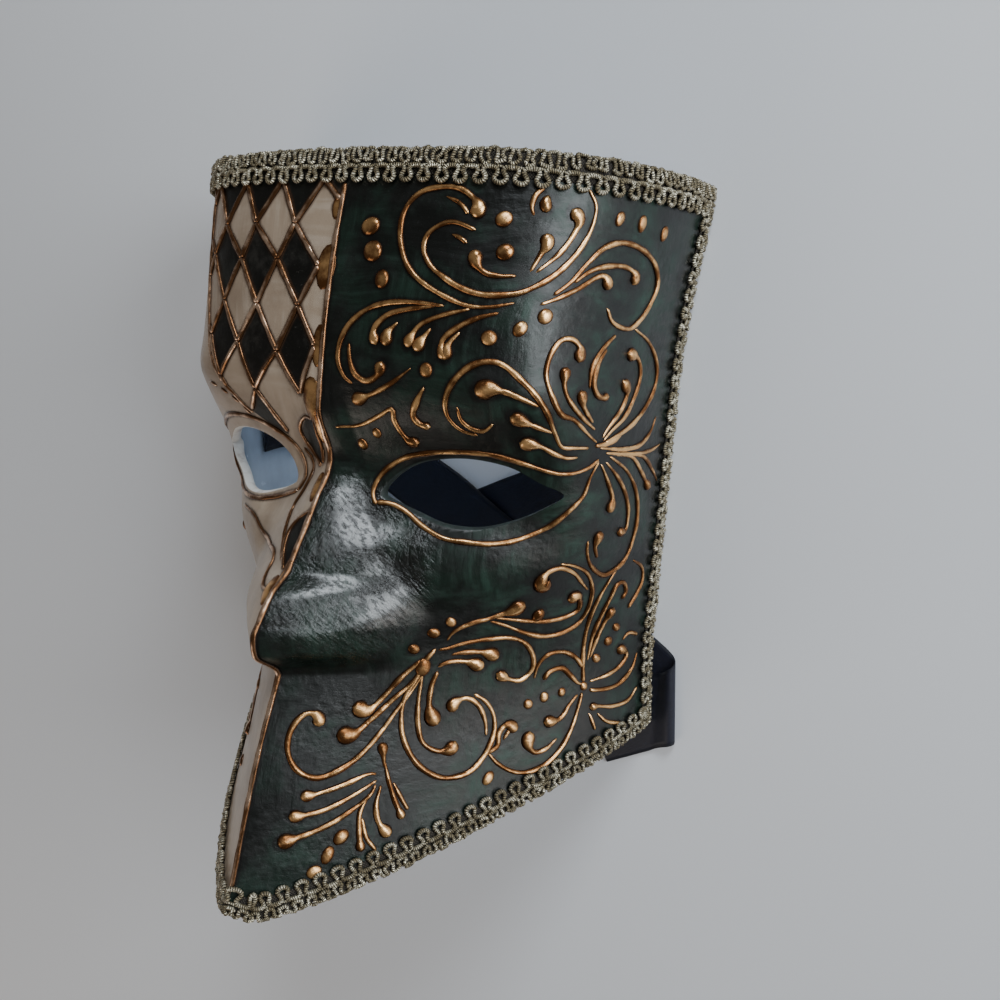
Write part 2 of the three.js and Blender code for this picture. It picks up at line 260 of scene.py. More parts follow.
@dataclass(frozen=True)
class FaceForm:
    """The outside of the shell, the same on both sides of the middle plane.

    A point is named by u, from -1 on the left side edge to 1 on the right one, and its height y. A
    field that ends in _at holds the heights y of the values after it. A swelling is its place in x and
    y, its radii and its height. The relief dies out toward the side edge with the power side_fade, and
    the lining is drawn in from u = lining_turn on. A normal comes from steps of u_step and y_step, and
    a section has cuts points. A line of sight is followed between the two z of sight in sight_steps,
    and the step that it hits in is halved halvings times.
    """

    half_at: Row = (-71.6, -39.9, 5.1, 50.1, 101.0)
    half: Row = (76.0, 74.4, 75.1, 76.2, 82.4)
    section_at: Row = (-107.3, -54.9, -31.9, -4.9, 16.1, 40.1, 70.1, 105.3)
    ridges: Row = (123.2, 107.0, 97.2, 91.5, 74.0, 82.9, 79.0, 70.1)
    falls: Row = (0.43, 0.54, 0.56, 0.46, 0.33, 0.19, 0.16, 0.09)
    shoulders: Row = (2.1, 1.7, 2.9, 6.8, 12.7, 10.0, 6.5, 4.8)
    crease_at: Row = (-31.9, 25.1, 70.1)
    creases: Row = (1.0, 1.35, 2.0)
    nose_at: Row = (-39.1, -37.2, -30.2, -24.8, -21.9, -14.5, -9.1, -1.0, 9.4, 16.6,
                                  22.4, 28.2, 33.1, 40.1, 46.0)
    nose: Row = (0, 1.8, 12.7, 14.5, 13.3, 9.2, 3.8, 3.2, 4.6, 2.6, 1.7, 2.4, 2.7, 0.9, 0)
    nose_width_at: Row = (-40, -25, -15, -5, 5, 16, 40)
    nose_widths: Row = (31, 34, 30, 21, 14, 10, 8)
    swellings: tuple[Row, ...] = (
        (23, -22, 7, 6, 2.6), (25, -8, 6, 5, -1.6), (24, 4, 9, 6, -2.2), (57, 2, 9, 8, -3.0),
        (64, 42.2, 9.5, 6.2, 1.8))
    softening: float = 9.0
    lift: float = 1.5
    side_thickness: float = 2.8
    front_thickness: float = 3.4
    top_rim: float = 104.3
    top_drop: float = 3.3
    chin_rim: float = -106.3
    corner_rise: float = 34.7
    rim_sag: float = 15.9
    chin_blunt: float = 4.0
    chin_blunt_width: float = 0.05
    side_fade: int = 8
    lining_turn: float = 0.86
    u_step: float = 0.0015
    y_step: float = 0.15
    cuts: int = 240
    sight: Pair = (0.5, 126.0)
    sight_steps: int = 320
    halvings: int = 14

    def soft(self, values: Row, y: Array) -> Array:
        """The mean of the section curve at five heights over the softening length."""
        curve = monotone(self.section_at, values)
        steps = np.linspace(-1, 1, 5)
        return sum(curve(y + k * self.softening) for k in steps) / len(steps)

    def half_width(self, y: Array) -> Array:
        """Half the mask's width at a height."""
        return monotone(self.half_at, self.half)(y)

    def top(self, u: Array) -> Array:
        """Height of the forehead rim: top_rim - drop · (1 - √(1 - u²))."""
        return self.top_rim - self.top_drop * (1 - np.sqrt(np.clip(1 - u * u, 0, 1)))

    def bottom(self, u: Array) -> Array:
        """Height of the chin rim: two sagging lines that meet in a blunt point."""
        s = np.abs(u)
        return (self.chin_rim + self.corner_rise * s - self.rim_sag * s * (1 - s)
                + self.chin_blunt * np.exp(-(s / self.chin_blunt_width)**2))

    def relief(self, x: Array, y: Array) -> Array:
        """The nose, (1 - a²)^1.5 across its width, and the round swellings."""
        s = np.abs(x)
        across = s / np.interp(y, self.nose_width_at, self.nose_widths)
        height = monotone(self.nose_at, self.nose)(y) * np.clip(1 - across**2, 0, 1)**1.5
        for mx, my, wx, wy, amount in self.swellings:
            height = height + amount * np.exp(-((s - mx) / wx)**2 - ((y - my) / wy)**2)
        return height

    def surface(self, u: Array, y: Array) -> Array:
        """x = half · u; z = ridge · (1 - fall · |u|^crease) · √(1 - |u|^shoulder) + relief."""
        s = np.minimum(np.abs(u), 1.0)
        x = self.half_width(y) * u
        fall = self.soft(self.falls, y) * s**np.interp(y, self.crease_at, self.creases)
        plain = self.soft(self.ridges, y) * (1 - fall) * np.sqrt(1 - s**self.soft(self.shoulders, y))
        relief = self.relief(x, y) * (1 - s**self.side_fade)
        return np.stack([x, y + 0 * x, self.lift + plain + relief], axis=-1)

    def normal(self, u: Array, y: Array) -> Array:
        """Outward unit normals, the product of the surface's two small steps."""
        inside = np.clip(u, self.u_step - 1, 1 - self.u_step)
        across = self.surface(inside + self.u_step, y) - self.surface(inside - self.u_step, y)
        upward = self.surface(inside, y + self.y_step) - self.surface(inside, y - self.y_step)
        return unit(np.cross(across, upward))

    def inside(self, u: Array, y: Array) -> Array:
        """The lining: under the outside at the same place, and drawn in by the wall at the sides."""
        half = self.half_width(y)
        x = u * (half - self.side_thickness * smoothstep(self.lining_turn, 1.0, np.abs(u)))
        height = self.surface(x / (half - self.side_thickness), y)[..., 2] - self.lift
        scale = 1 - self.front_thickness / self.soft(self.ridges, y)
        return np.stack([x, y + 0 * x, self.lift + height * scale], axis=-1)

    def at_girth(self, girth: Array, y: Array) -> Array:
        """The u that lies a given length round the surface from the middle line, at the height y."""
        steps = np.sin(np.linspace(0, math.pi / 2, self.cuts))
        cuts = self.surface(np.broadcast_to(steps, (len(y), self.cuts)), y[:, None])
        run = np.cumsum(np.linalg.norm(np.diff(cuts, axis=1), axis=2), axis=1)
        run = np.concatenate([np.zeros((len(y), 1)), run], axis=1)
        want = np.minimum(np.abs(girth), run[:, -1] - SMALL)
        i = np.clip((run <= want[:, None]).sum(1) - 1, 0, self.cuts - 2)
        rows = np.arange(len(y))
        share = (want - run[rows, i]) / (run[rows, i + 1] - run[rows, i])
        return np.sign(girth) * (steps[i] + share * (steps[i + 1] - steps[i]))

    def girth(self, u: Array, y: Array) -> Array:
        """The length round the surface from the middle line to u, at the height y."""
        share = np.linspace(0, 1, self.cuts // 2)
        steps = np.sin(np.arcsin(np.clip(np.abs(u), 0, 1))[:, None] * share)
        cuts = self.surface(steps, y[:, None])
        return np.sign(u) * np.linalg.norm(np.diff(cuts, axis=1), axis=2).sum(1)

    def cast(self, view: Viewpoint, pixels: Array) -> tuple[Array, Array]:
        """Where the line of sight through each pixel first meets the outside.

        Args:
            view: The camera.
            pixels: (n, 2) places in its picture.

        Returns:
            u and y of each hit.
        """
        start = np.array(view.place)
        ray = view.rays(pixels)
        far, near = ((depth - start[2]) / ray[:, 2] for depth in self.sight)
        t = near + (far - near) * np.linspace(0, 1, self.sight_steps)[:, None]

        def gap(depth: Array) -> Array:
            """Height over the surface, or 1 beside it."""
            p = start + depth[..., None] * ray
            half = self.half_width(p[..., 1])
            beside = np.abs(p[..., 0]) > half
            return np.where(beside, 1.0, p[..., 2] - self.surface(p[..., 0] / half, p[..., 1])[..., 2])

        below = gap(t) < 0
        i = np.clip(below.argmax(0), 1, self.sight_steps - 1)
        rows = np.arange(len(ray))
        low, high = t[i - 1, rows], t[i, rows]
        for _ in range(self.halvings):
            middle = (low + high) / 2
            under = gap(middle) < 0
            low, high = np.where(under, low, middle), np.where(under, middle, high)
        hit = start + high[:, None] * ray
        return np.clip(hit[:, 0] / self.half_width(hit[:, 1]), -1, 1), hit[:, 1]


# Mesh making

@dataclass
class Patch:
    """A piece of mesh in the making.

    points is (n, 3); faces is a list of index arrays, each (m, 3) or (m, 4), with a finish number for
    each array; marks are numbers kept on the points; uv holds a pair for each face corner, or nothing.
    """

    points: Array
    faces: list[Array]
    finishes: list[int]
    marks: dict[str, Array] = field(default_factory=dict)
    uv: list[Array] = field(default_factory=list)

    @staticmethod
    def joined(patches: list["Patch"]) -> "Patch":
        """One patch of several, their points numbered on."""
        starts = np.concatenate([[0], np.cumsum([len(p.points) for p in patches])])
        faces = [f + start for p, start in zip(patches, starts) for f in p.faces]
        names = patches[0].marks.keys()
        return Patch(np.concatenate([p.points for p in patches]), faces,
                     [n for p in patches for n in p.finishes],
                     {k: np.concatenate([p.marks[k] for p in patches]) for k in names},
                     [a for p in patches for a in p.uv])

    def build(self, name: str, materials: list[Material],
              sharp: float | None = None) -> Item:
        """Makes the object at the origin, smooth but for edges sharper than sharp degrees, if given."""
        mesh = bpy.data.meshes.new(name)
        sizes = np.concatenate([np.full(len(f), f.shape[1]) for f in self.faces])
        corners = np.concatenate([f.ravel() for f in self.faces]).astype(np.int32)
        mesh.vertices.add(len(self.points))
        mesh.vertices.foreach_set("co", (self.points * MM).astype(np.float32).ravel())
        mesh.loops.add(len(corners))
        mesh.loops.foreach_set("vertex_index", corners)
        mesh.polygons.add(len(sizes))
        finish = np.concatenate([np.full(len(f), n) for f, n in zip(self.faces, self.finishes)])
        for key, values in (("loop_start", np.cumsum(sizes) - sizes), ("loop_total", sizes),
                            ("material_index", finish)):
            mesh.polygons.foreach_set(key, values.astype(np.int32))
        mesh.polygons.foreach_set("use_smooth", np.ones(len(sizes), dtype=bool))
        if self.uv:
            flat = np.concatenate([a.reshape(-1) for a in self.uv])
            mesh.uv_layers.new(name="run").data.foreach_set("uv", flat.astype(np.float32))
        for key, values in self.marks.items():
            mark = mesh.attributes.new(key, "FLOAT", "POINT")
            mark.data.foreach_set("value", values.astype(np.float32))
        for material in materials:
            mesh.materials.append(material)
        mesh.update(calc_edges=True)
        mesh.validate()
        if sharp is not None:
            mesh.set_sharp_from_angle(angle=math.radians(sharp))
        item = bpy.data.objects.new(name, mesh)
        bpy.context.scene.collection.objects.link(item)
        return item


def band_faces(rows: int, columns: int, wrap_rows: bool, wrap_columns: bool) -> Array:
    """Quads over a grid of points numbered row by row, closed round either way if asked."""
    r = np.arange(rows if wrap_rows else rows - 1)[:, None]
    c = np.arange(columns if wrap_columns else columns - 1)[None, :]
    r2, c2 = (r + 1) % rows, (c + 1) % columns
    quads = [r * columns + c, r * columns + c2, r2 * columns + c2, r2 * columns + c]
    return np.stack(quads, axis=-1).reshape(-1, 4)


def bead(path: Array, normals: Array, radius: Array, rise: Array, sides: int, closed: bool,
         sink: float) -> Patch:
    """A rounded bead carried along a path on a surface.

    Round the section, the point at angle a stands radius · cos a sideways and rise · sin a up, or
    sink · sin a below the surface.

    Args:
        path: (n, 3) points.
        normals: (n, 3) directions away from the surface.
        radius: Half width at each point.
        rise: Height at each point.
        sides: Points round the section.
        closed: Whether the path returns to its start.
        sink: Depth of the underside, at most.

    Returns:
        The bead, with marks crest (1 on top, 0 at the foot) and uv (length, share round).
    """
    if closed:
        ahead = unit(np.roll(path, -1, axis=0) - np.roll(path, 1, axis=0))
    else:
        ahead = unit(np.gradient(path, axis=0))
    across = unit(np.cross(ahead, normals))
    up = unit(np.cross(across, ahead))
    angle = np.arange(sides) / sides * FULL_TURN
    tall = np.where(np.sin(angle) > 0, rise[:, None], np.minimum(sink, rise)[:, None])
    height = (tall * np.sin(angle))[..., None] * up[:, None]
    side = (radius[:, None] * np.cos(angle))[..., None] * across[:, None]
    points = path[:, None] + side + height

    n = len(path)
    steps = n if closed else n - 1
    run = lengths(np.concatenate([path, path[:1]]) if closed else path)
    r = np.repeat(np.arange(steps), sides)
    c = np.tile(np.arange(sides), steps)
    corners = [(run[r + 1], c), (run[r + 1], c + 1), (run[r], c + 1), (run[r], c)]
    uv = [np.stack([np.stack([a, b / sides], axis=-1) for a, b in corners], axis=1)]
    faces = [band_faces(n, sides, closed, True)[:, ::-1]]
    if not closed:
        for end in (np.arange(sides), np.arange(sides)[::-1] + (n - 1) * sides):
            faces.append(np.stack([np.full(sides - 2, end[0]), end[1:-1], end[2:]], axis=1))
            uv.append(np.zeros((sides - 2, 3, 2)))
    crest = np.broadcast_to(np.clip(np.sin(angle), 0, 1), (n, sides)).ravel()
    return Patch(points.reshape(-1, 3), faces, [0] * len(faces), {"crest": crest}, uv)


# Finishes

class Wiring:
    """Puts nodes into one tree and joins them."""

    def __init__(self, tree: Tree) -> None:
        """Keeps the tree."""
        self.tree = tree

    def add(self, kind: str, settings: dict | None = None, **inputs: object) -> bpy.types.Node:
        """Adds a node.

        Args:
            kind: The node's type, without the ShaderNode before it.
            settings: Properties of the node.
            **inputs: Values or sockets for its inputs, an underscore for a space, or in0 for a place.

        Returns:
            The node.
        """
        node = self.tree.nodes.new("ShaderNode" + kind)
        for key, value in (settings or {}).items():
            setattr(node, key, value)
        for key, value in inputs.items():
            place = int(key[2:]) if key[:2] == "in" and key[2:].isdigit() else key.replace("_", " ")
            self.feed(node.inputs[place], value)
        return node

    def feed(self, socket: Socket, value: object) -> None:
        """Joins a socket, or sets a value, on an input."""
        if isinstance(value, Socket):
            self.tree.links.new(value, socket)
        else:
            socket.default_value = value

    def math(self, operation: str, a: object, b: object = 0.0) -> Socket:
        """One sum on two numbers."""
        return self.add("Math", {"operation": operation}, in0=a, in1=b).outputs[0]

    def plus(self, a: object, b: object) -> Socket:
        """a + b."""
        return self.math("ADD", a, b)

    def minus(self, a: object, b: object) -> Socket:
        """a - b."""
        return self.math("SUBTRACT", a, b)

    def times(self, a: object, b: object) -> Socket:
        """a · b."""
        return self.math("MULTIPLY", a, b)

    def wave(self, value: Socket, length: float) -> Socket:
        """The sine of full turns, one for each length of the value."""
        return self.math("SINE", self.times(value, FULL_TURN / length))

    def part(self, vector: Socket, axis: int) -> Socket:
        """One number of a vector."""
        return self.add("SeparateXYZ", in0=vector).outputs[axis]

    def ramp(self, value: Socket, low: float, high: float, to_low: float = 0.0,
             to_high: float = 1.0) -> Socket:
        """A smooth step from to_low at low to to_high at high."""
        node = self.add("MapRange", {"interpolation_type": "SMOOTHSTEP"}, in0=value, in1=low, in2=high,
                        in3=to_low, in4=to_high)
        return node.outputs[0]

    def mix(self, share: object, a: object, b: object) -> Socket:
        """Colour a where the share is 0 and b where it is 1."""
        node = self.add("Mix", {"data_type": "RGBA"})
        self.feed(node.inputs[0], share)
        self.feed(node.inputs[6], a)
        self.feed(node.inputs[7], b)
        return node.outputs[2]

    def noise(self, vector: Socket, scale: float, detail: float = 3.0, rough: float = 0.55) -> Socket:
        """Cloudy noise, about 0.2 to 0.8, with scale clouds to the unit of the vector."""
        return self.add("TexNoise", Vector=vector, Scale=scale, Detail=detail, Roughness=rough).outputs[0]

    def stretched(self, vector: Socket, scale: tuple = (1, 1, 1), turn: tuple = (0, 0, 0)) -> Socket:
        """The vector scaled, then turned."""
        return self.add("Mapping", Vector=vector, Rotation=turn, Scale=scale).outputs[0]


def rgb(red: float, green: float, blue: float) -> tuple[float, float, float, float]:
    """A colour with full alpha."""
    return (red, green, blue, 1.0)


def shader_group(name: str, inputs: dict[str, float | None],
                 outputs: list[str]) -> tuple[Wiring, dict[str, Socket], dict[str, Socket]]:
    """Starts a node group.

    Args:
        name: Its name.
        inputs: Default of each number that it takes, or None for a vector.
        outputs: Names of its numbers out.

    Returns:
        The wiring, the sockets that bring its inputs, and those that take its outputs.
    """
    tree = bpy.data.node_groups.new(name, "ShaderNodeTree")
    for key, default in inputs.items():
        kind = "NodeSocketVector" if default is None else "NodeSocketFloat"
        socket = tree.interface.new_socket(name=key, in_out="INPUT", socket_type=kind)
        if default is not None:
            socket.default_value = default
    for key in outputs:
        tree.interface.new_socket(name=key, in_out="OUTPUT", socket_type="NodeSocketFloat")
    source = tree.nodes.new("NodeGroupInput")
    sink = tree.nodes.new("NodeGroupOutput")
    given = {s.name: s for s in source.outputs if s.name}
    return Wiring(tree), given, {s.name: s for s in sink.inputs if s.name}


def make_brushwork() -> Tree:
    """Streaks of a stiff brush, their ridges, and broad clouds of thicker and thinner paint.

    Two sets of bent streaks cross each other, and a coarse noise chooses between them.
    """
    w, given, out = shader_group("brushwork", {"Vector": None, "Scale": 1.0}, ["Streaks", "Clouds", "Ridges"])
    place = w.add("VectorMath", {"operation": "SCALE"}, in0=given["Vector"], Scale=given["Scale"]).outputs[0]
    drift = w.add("TexNoise", Vector=place, Scale=22.0, Detail=2.0).outputs[1]
    bent = w.add("VectorMath", {"operation": "MULTIPLY_ADD"}, in0=drift, in1=(0.012, 0.012, 0.012), in2=place)
    bent = bent.outputs[0]
    one = w.noise(w.stretched(bent, (1.0, 0.11, 0.4), (0, 0, 0.75)), 420.0, 5.0, 0.62)
    two = w.noise(w.stretched(bent, (0.12, 1.0, 0.5), (0, 0, -0.5)), 330.0, 5.0, 0.62)
    choice = w.ramp(w.noise(place, 38.0, 2.0), 0.44, 0.56)
    ridges = w.plus(w.times(one, choice), w.times(two, w.minus(1.0, choice)))
    w.feed(out["Streaks"], w.ramp(ridges, 0.42, 0.66))
    w.feed(out["Clouds"], w.ramp(w.noise(place, 55.0, 4.0, 0.6), 0.4, 0.68))
    w.feed(out["Ridges"], ridges)
    return w.tree


def make_hammered() -> Tree:
    """Fine dents and wrinkles of varnished paper, stronger in patches."""
    w, given, out = shader_group("hammered", {"Vector": None, "Patches": 0.5}, ["Height"])
    place = given["Vector"]
    cell = w.add("TexVoronoi", {"feature": "SMOOTH_F1"}, Vector=place, Scale=430.0, Smoothness=0.6)
    dents = w.plus(w.times(cell.outputs["Distance"], 0.7), w.noise(place, 620.0, 4.0, 0.6))
    where = w.ramp(w.noise(place, 45.0, 2.0), 0.38, 0.6)
    amount = w.plus(w.times(where, given["Patches"]), 0.35)
    broad = w.times(w.noise(place, 120.0, 3.0), 1.1)
    w.feed(out["Height"], w.plus(w.times(dents, amount), broad))
    return w.tree


def make_crest_wear_and_highlight() -> Tree:
    """A bead's crest, bright as rubbed gilding and painted highlight, broken by fine noise and by broad
    patches.
    """
    inputs = {"Crest": 0.5, "Vector": None, "Wear": 0.5}
    w, given, out = shader_group("crest_wear_and_highlight", inputs, ["Rubbed", "Foot"])
    crest = given["Crest"]
    fine = w.minus(w.noise(given["Vector"], 260.0, 4.0, 0.6), 0.5)
    broad = w.minus(w.noise(given["Vector"], 75.0, 2.0), 0.5)
    bright = w.plus(w.plus(crest, w.times(fine, 1.2)), w.minus(given["Wear"], 0.5))
    # Painted highlight with rubbed gilding: the crest is bright
    w.feed(out["Rubbed"], w.ramp(w.plus(bright, w.times(broad, 1.5)), 0.45, 1.05))
    # Painted shade with a dark wash: the foot is dark
    w.feed(out["Foot"], w.ramp(w.plus(crest, w.times(fine, 0.5)), 0.05, 0.6, 1.0, 0.0))
    return w.tree


def make_dust() -> Tree:
    """Specks and a thin film of dust."""
    w, given, out = shader_group("dust", {"Vector": None, "Amount": 0.2}, ["Film"])
    specks = w.ramp(w.noise(given["Vector"], 1500.0, 1.0), 0.68, 0.76)
    film = w.ramp(w.noise(given["Vector"], 90.0, 5.0, 0.7), 0.45, 0.75)
    both = w.math("MINIMUM", w.plus(specks, film), 1.0)
    w.feed(out["Film"], w.times(both, given["Amount"]))
    return w.tree


@dataclass(frozen=True)
class Groups:
    """The shared shader groups, each built once."""

    brushwork: Tree = field(default_factory=make_brushwork)
    hammered: Tree = field(default_factory=make_hammered)
    crest_wear_and_highlight: Tree = field(default_factory=make_crest_wear_and_highlight)
    dust: Tree = field(default_factory=make_dust)


class Finish:
    """A material in the making: its wiring, its shader and its object coordinates."""

    def __init__(self, name: str, groups: Groups) -> None:
        """Starts an empty material."""
        self.material = bpy.data.materials.new(name)
        self.material.use_nodes = True
        self.wiring = Wiring(self.material.node_tree)
        self.shader = self.material.node_tree.nodes["Principled BSDF"]
        self.groups = groups
        self.place = self.wiring.add("TexCoord").outputs["Object"]

    def group(self, tree: Tree, **inputs: object) -> dict[str, Socket]:
        """Places a shared group and gives back its outputs by name."""
        node = self.wiring.add("Group", {"node_tree": tree}, Vector=self.place, **inputs)
        return {s.name: s for s in node.outputs}

    def brush(self, scale: float) -> dict[str, Socket]:
        """The brushwork's streaks, clouds and ridges."""
        return self.group(self.groups.brushwork, Scale=scale)

    def dents(self, patches: float) -> Socket:
        """The height of the dents."""
        return self.group(self.groups.hammered, Patches=patches)["Height"]

    def dust(self, amount: float) -> Socket:
        """The share of dust."""
        return self.group(self.groups.dust, Amount=amount)["Film"]

    def mark(self, name: str) -> Socket:
        """A number kept on the mesh."""
        return self.wiring.add("Attribute", {"attribute_name": name}).outputs["Fac"]

    def run(self) -> Socket:
        """The mesh's own map: length along, and place across or round."""
        return self.wiring.add("UVMap", {"uv_map": "run"}).outputs[0]

    def set(self, **values: object) -> None:
        """Sets or joins the shader's own inputs."""
        for key, value in values.items():
            self.wiring.feed(self.shader.inputs[key.replace("_", " ")], value)

    def bump(self, height: Socket, depth: float) -> None:
        """Small relief of the given depth in millimetres, for heights of about 0 to 1."""
        self.set(Normal=self.wiring.add("Bump", Height=height, Distance=depth * MM).outputs[0])


class Paint:
    """The recipe of a material.

    Lengths in it are in metres, or in millimetres where they are taken on the mesh's own map.
    """

    def material(self, name: str, groups: Groups) -> Material:
        """Builds the material."""
        finish = Finish(name, groups)
        self.apply(finish, finish.wiring)
        return finish.material

    def apply(self, f: Finish, w: Wiring) -> None:
        """Wires the recipe into a finish."""
        raise NotImplementedError


@dataclass(frozen=True)
class DarkLacquer(Paint):
    """Brushed green-black varnish, glossy on the nose, with a dark wash and painted shade by the raised work.

    nose is the middle of the gloss. Its relief fades out over the reach gloss_fade, and its polish
    over polish_fade. Fine brush hairs lie in the gloss, turned by hair_turns about z and then y, and
    hair_scale is their number to the metre along and across.
    """

    deep: tuple = rgb(0.0022, 0.0030, 0.0026)
    green: tuple = rgb(0.0055, 0.0145, 0.0098)
    teal: tuple = rgb(0.013, 0.044, 0.030)
    # Painted shade, partly a dark wash: the near black beside the foot of the beads
    wash_and_shade: tuple = rgb(0.0012, 0.001, 0.001)
    dusty: tuple = rgb(0.12, 0.125, 0.12)
    nose: Triple = (0.012, -0.008, 0.090)
    gloss_fade: Pair = (0.021, 0.031)
    polish_fade: Pair = (0.021, 0.034)
    hair_turns: Pair = (0.95, -0.526)
    hair_scale: Triple = (150, 900, 900)

    def apply(self, f: Finish, w: Wiring) -> None:
        """Wires it."""
        brush = f.brush(1.0)
        outward = w.ramp(w.part(f.place, 0), 0.02, 0.065, 0.3, 0.75)
        colour = w.mix(brush["Clouds"], self.deep, self.green)
        colour = w.mix(w.times(brush["Streaks"], w.times(brush["Clouds"], outward)), colour, self.teal)
        # Painted shade, partly a dark wash: near black beside the foot of each bead
        colour = w.mix(w.ramp(f.mark("line_gap"), 0.1, 1.1, 0.85, 0.0), colour, self.wash_and_shade)
        f.set(Base_Color=w.mix(f.dust(0.05), colour, self.dusty))

        reach = w.add("VectorMath", {"operation": "DISTANCE"}, in0=f.place, in1=self.nose).outputs["Value"]
        turned = w.stretched(f.place, turn=(0, 0, self.hair_turns[0]))
        turned = w.stretched(turned, turn=(0, self.hair_turns[1], 0))
        hairs = w.noise(w.stretched(turned, self.hair_scale), 1.0, 3.0, 0.6)
        coat = w.times(w.ramp(reach, *self.gloss_fade, 1.0, 0.08), w.ramp(hairs, 0.41, 0.55, 0.2, 1.0))
        f.set(Coat_Weight=coat, Coat_Roughness=0.22, Specular_IOR_Level=0.42)
        matt = w.times(w.ramp(brush["Ridges"], 0.35, 0.7), w.ramp(reach, *self.polish_fade, 0.2, 0.16))
        f.set(Roughness=w.plus(w.ramp(reach, *self.polish_fade, 0.15, 0.33), matt))

        height = w.plus(w.times(f.dents(0.9), w.ramp(reach, *self.gloss_fade, 0.85, 0.3)),
                        w.times(brush["Ridges"], w.ramp(reach, *self.gloss_fade, 1.3, 0.5)))
        f.bump(w.plus(height, w.times(hairs, w.ramp(reach, *self.gloss_fade, 1.3, 0.0))), 0.36)


@dataclass(frozen=True)
class IvoryPaint(Paint):
    """Ivory paint with cloudy grey-brown glazing, and black diamonds where the mesh says so.

    The same grey-brown darkens the ivory towards the forehead as painted shade, over the heights forehead.
    """

    light: tuple = rgb(0.465, 0.368, 0.278)
    # Grey-brown glaze tone, also used as painted shade on the forehead
    glaze_and_shade: tuple = rgb(0.235, 0.172, 0.122)
    streak: tuple = rgb(0.6, 0.52, 0.43)
    black: tuple = rgb(0.0035, 0.0035, 0.003)
    black_green: tuple = rgb(0.009, 0.0105, 0.009)
    brown: tuple = rgb(0.052, 0.025, 0.013)
    dusty: tuple = rgb(0.4, 0.37, 0.33)
    forehead: Pair = (0.025, 0.07)

    def apply(self, f: Finish, w: Wiring) -> None:
        """Wires it."""
        brush = f.brush(0.8)
        ivory = w.mix(w.times(brush["Clouds"], 0.6), self.light, self.glaze_and_shade)
        # Painted shade: the ivory darkens towards the forehead
        ivory = w.mix(w.ramp(w.part(f.place, 1), *self.forehead, 0.0, 0.6), ivory, self.glaze_and_shade)
        ivory = w.mix(w.times(brush["Streaks"], 0.25), ivory, self.streak)
        black = w.mix(brush["Clouds"], self.black, self.black_green)
        wobble = w.times(w.minus(w.noise(f.place, 500.0), 0.5), 0.5)
        dark = w.ramp(w.plus(f.mark("black_cell"), wobble), -0.12, 0.12, 1.0, 0.0)
        colour = w.mix(dark, ivory, black)
        colour = w.mix(w.ramp(f.mark("line_gap"), -0.1, 0.95, 0.85, 0.0), colour, self.brown)
        f.set(Base_Color=w.mix(f.dust(0.06), colour, self.dusty))
        f.set(Coat_Weight=w.ramp(dark, 0.0, 1.0, 0.35, 0.0), Coat_Roughness=0.22, Specular_IOR_Level=0.3)
        f.set(Roughness=w.ramp(brush["Ridges"], 0.3, 0.75, 0.34, 0.5))
        f.bump(w.plus(w.times(f.dents(0.4), 0.4), w.times(brush["Ridges"], 0.4)), 0.2)


@dataclass(frozen=True)
class Lining(Paint):
    """Smooth pale gloss inside the mask, brightened and tinted blue beyond its paint as painted light."""

    # Pale paint made brighter and bluer as painted light for the light that falls inside
    colour: tuple = rgb(0.58, 0.70, 0.86)
    rubbed: tuple = rgb(0.46, 0.56, 0.70)
    dusty: tuple = rgb(0.3, 0.3, 0.3)

    def apply(self, f: Finish, w: Wiring) -> None:
        """Wires it."""
        brush = f.brush(0.6)
        colour = w.mix(brush["Clouds"], self.colour, self.rubbed)
        f.set(Base_Color=w.mix(f.dust(0.1), colour, self.dusty), Coat_Weight=0.6, Coat_Roughness=0.12)
        f.set(Roughness=w.ramp(brush["Ridges"], 0.3, 0.75, 0.16, 0.3))
        f.bump(brush["Ridges"], 0.06)


@dataclass(frozen=True)
class Gilding(Paint):
    """Metallic paint over stucco: wash and painted shade at the foot, rubbed gilt and painted highlight on
    top.
    """

    foot: tuple = rgb(0.03, 0.012, 0.006)
    body: tuple = rgb(0.20, 0.084, 0.03)
    bright: tuple = rgb(0.95, 0.57, 0.25)
    wear: float = 0.34

    def apply(self, f: Finish, w: Wiring) -> None:
        """Wires it."""
        crest_paint = f.group(f.groups.crest_wear_and_highlight, Crest=f.mark("crest"), Wear=self.wear)
        dents = f.dents(0.8)
        # Bright crest and dark foot: rubbed gilding and a dark wash, with painted highlight and painted shade
        colour = w.mix(crest_paint["Rubbed"], self.body, self.bright)
        f.set(Base_Color=w.mix(crest_paint["Foot"], colour, self.foot))
        f.set(Metallic=w.minus(0.95, w.times(crest_paint["Foot"], 0.5)))
        f.set(Roughness=w.ramp(dents, 0.6, 1.6, 0.2, 0.4))
        f.bump(dents, 0.16)


@dataclass(frozen=True)
class CutEdge(Paint):
    """The cut edge of the paper round an eye hole, painted over."""

    colour: tuple = rgb(0.8, 0.78, 0.74)
    shade: tuple = rgb(0.55, 0.5, 0.45)
    matt: float = 0.4

    def apply(self, f: Finish, w: Wiring) -> None:
        """Wires it."""
        share = w.ramp(w.noise(f.place, 240.0, 4.0), 0.45, 0.7)
        f.set(Base_Color=w.mix(share, self.colour, self.shade), Roughness=self.matt)
        f.bump(f.dents(0.6), 0.18)


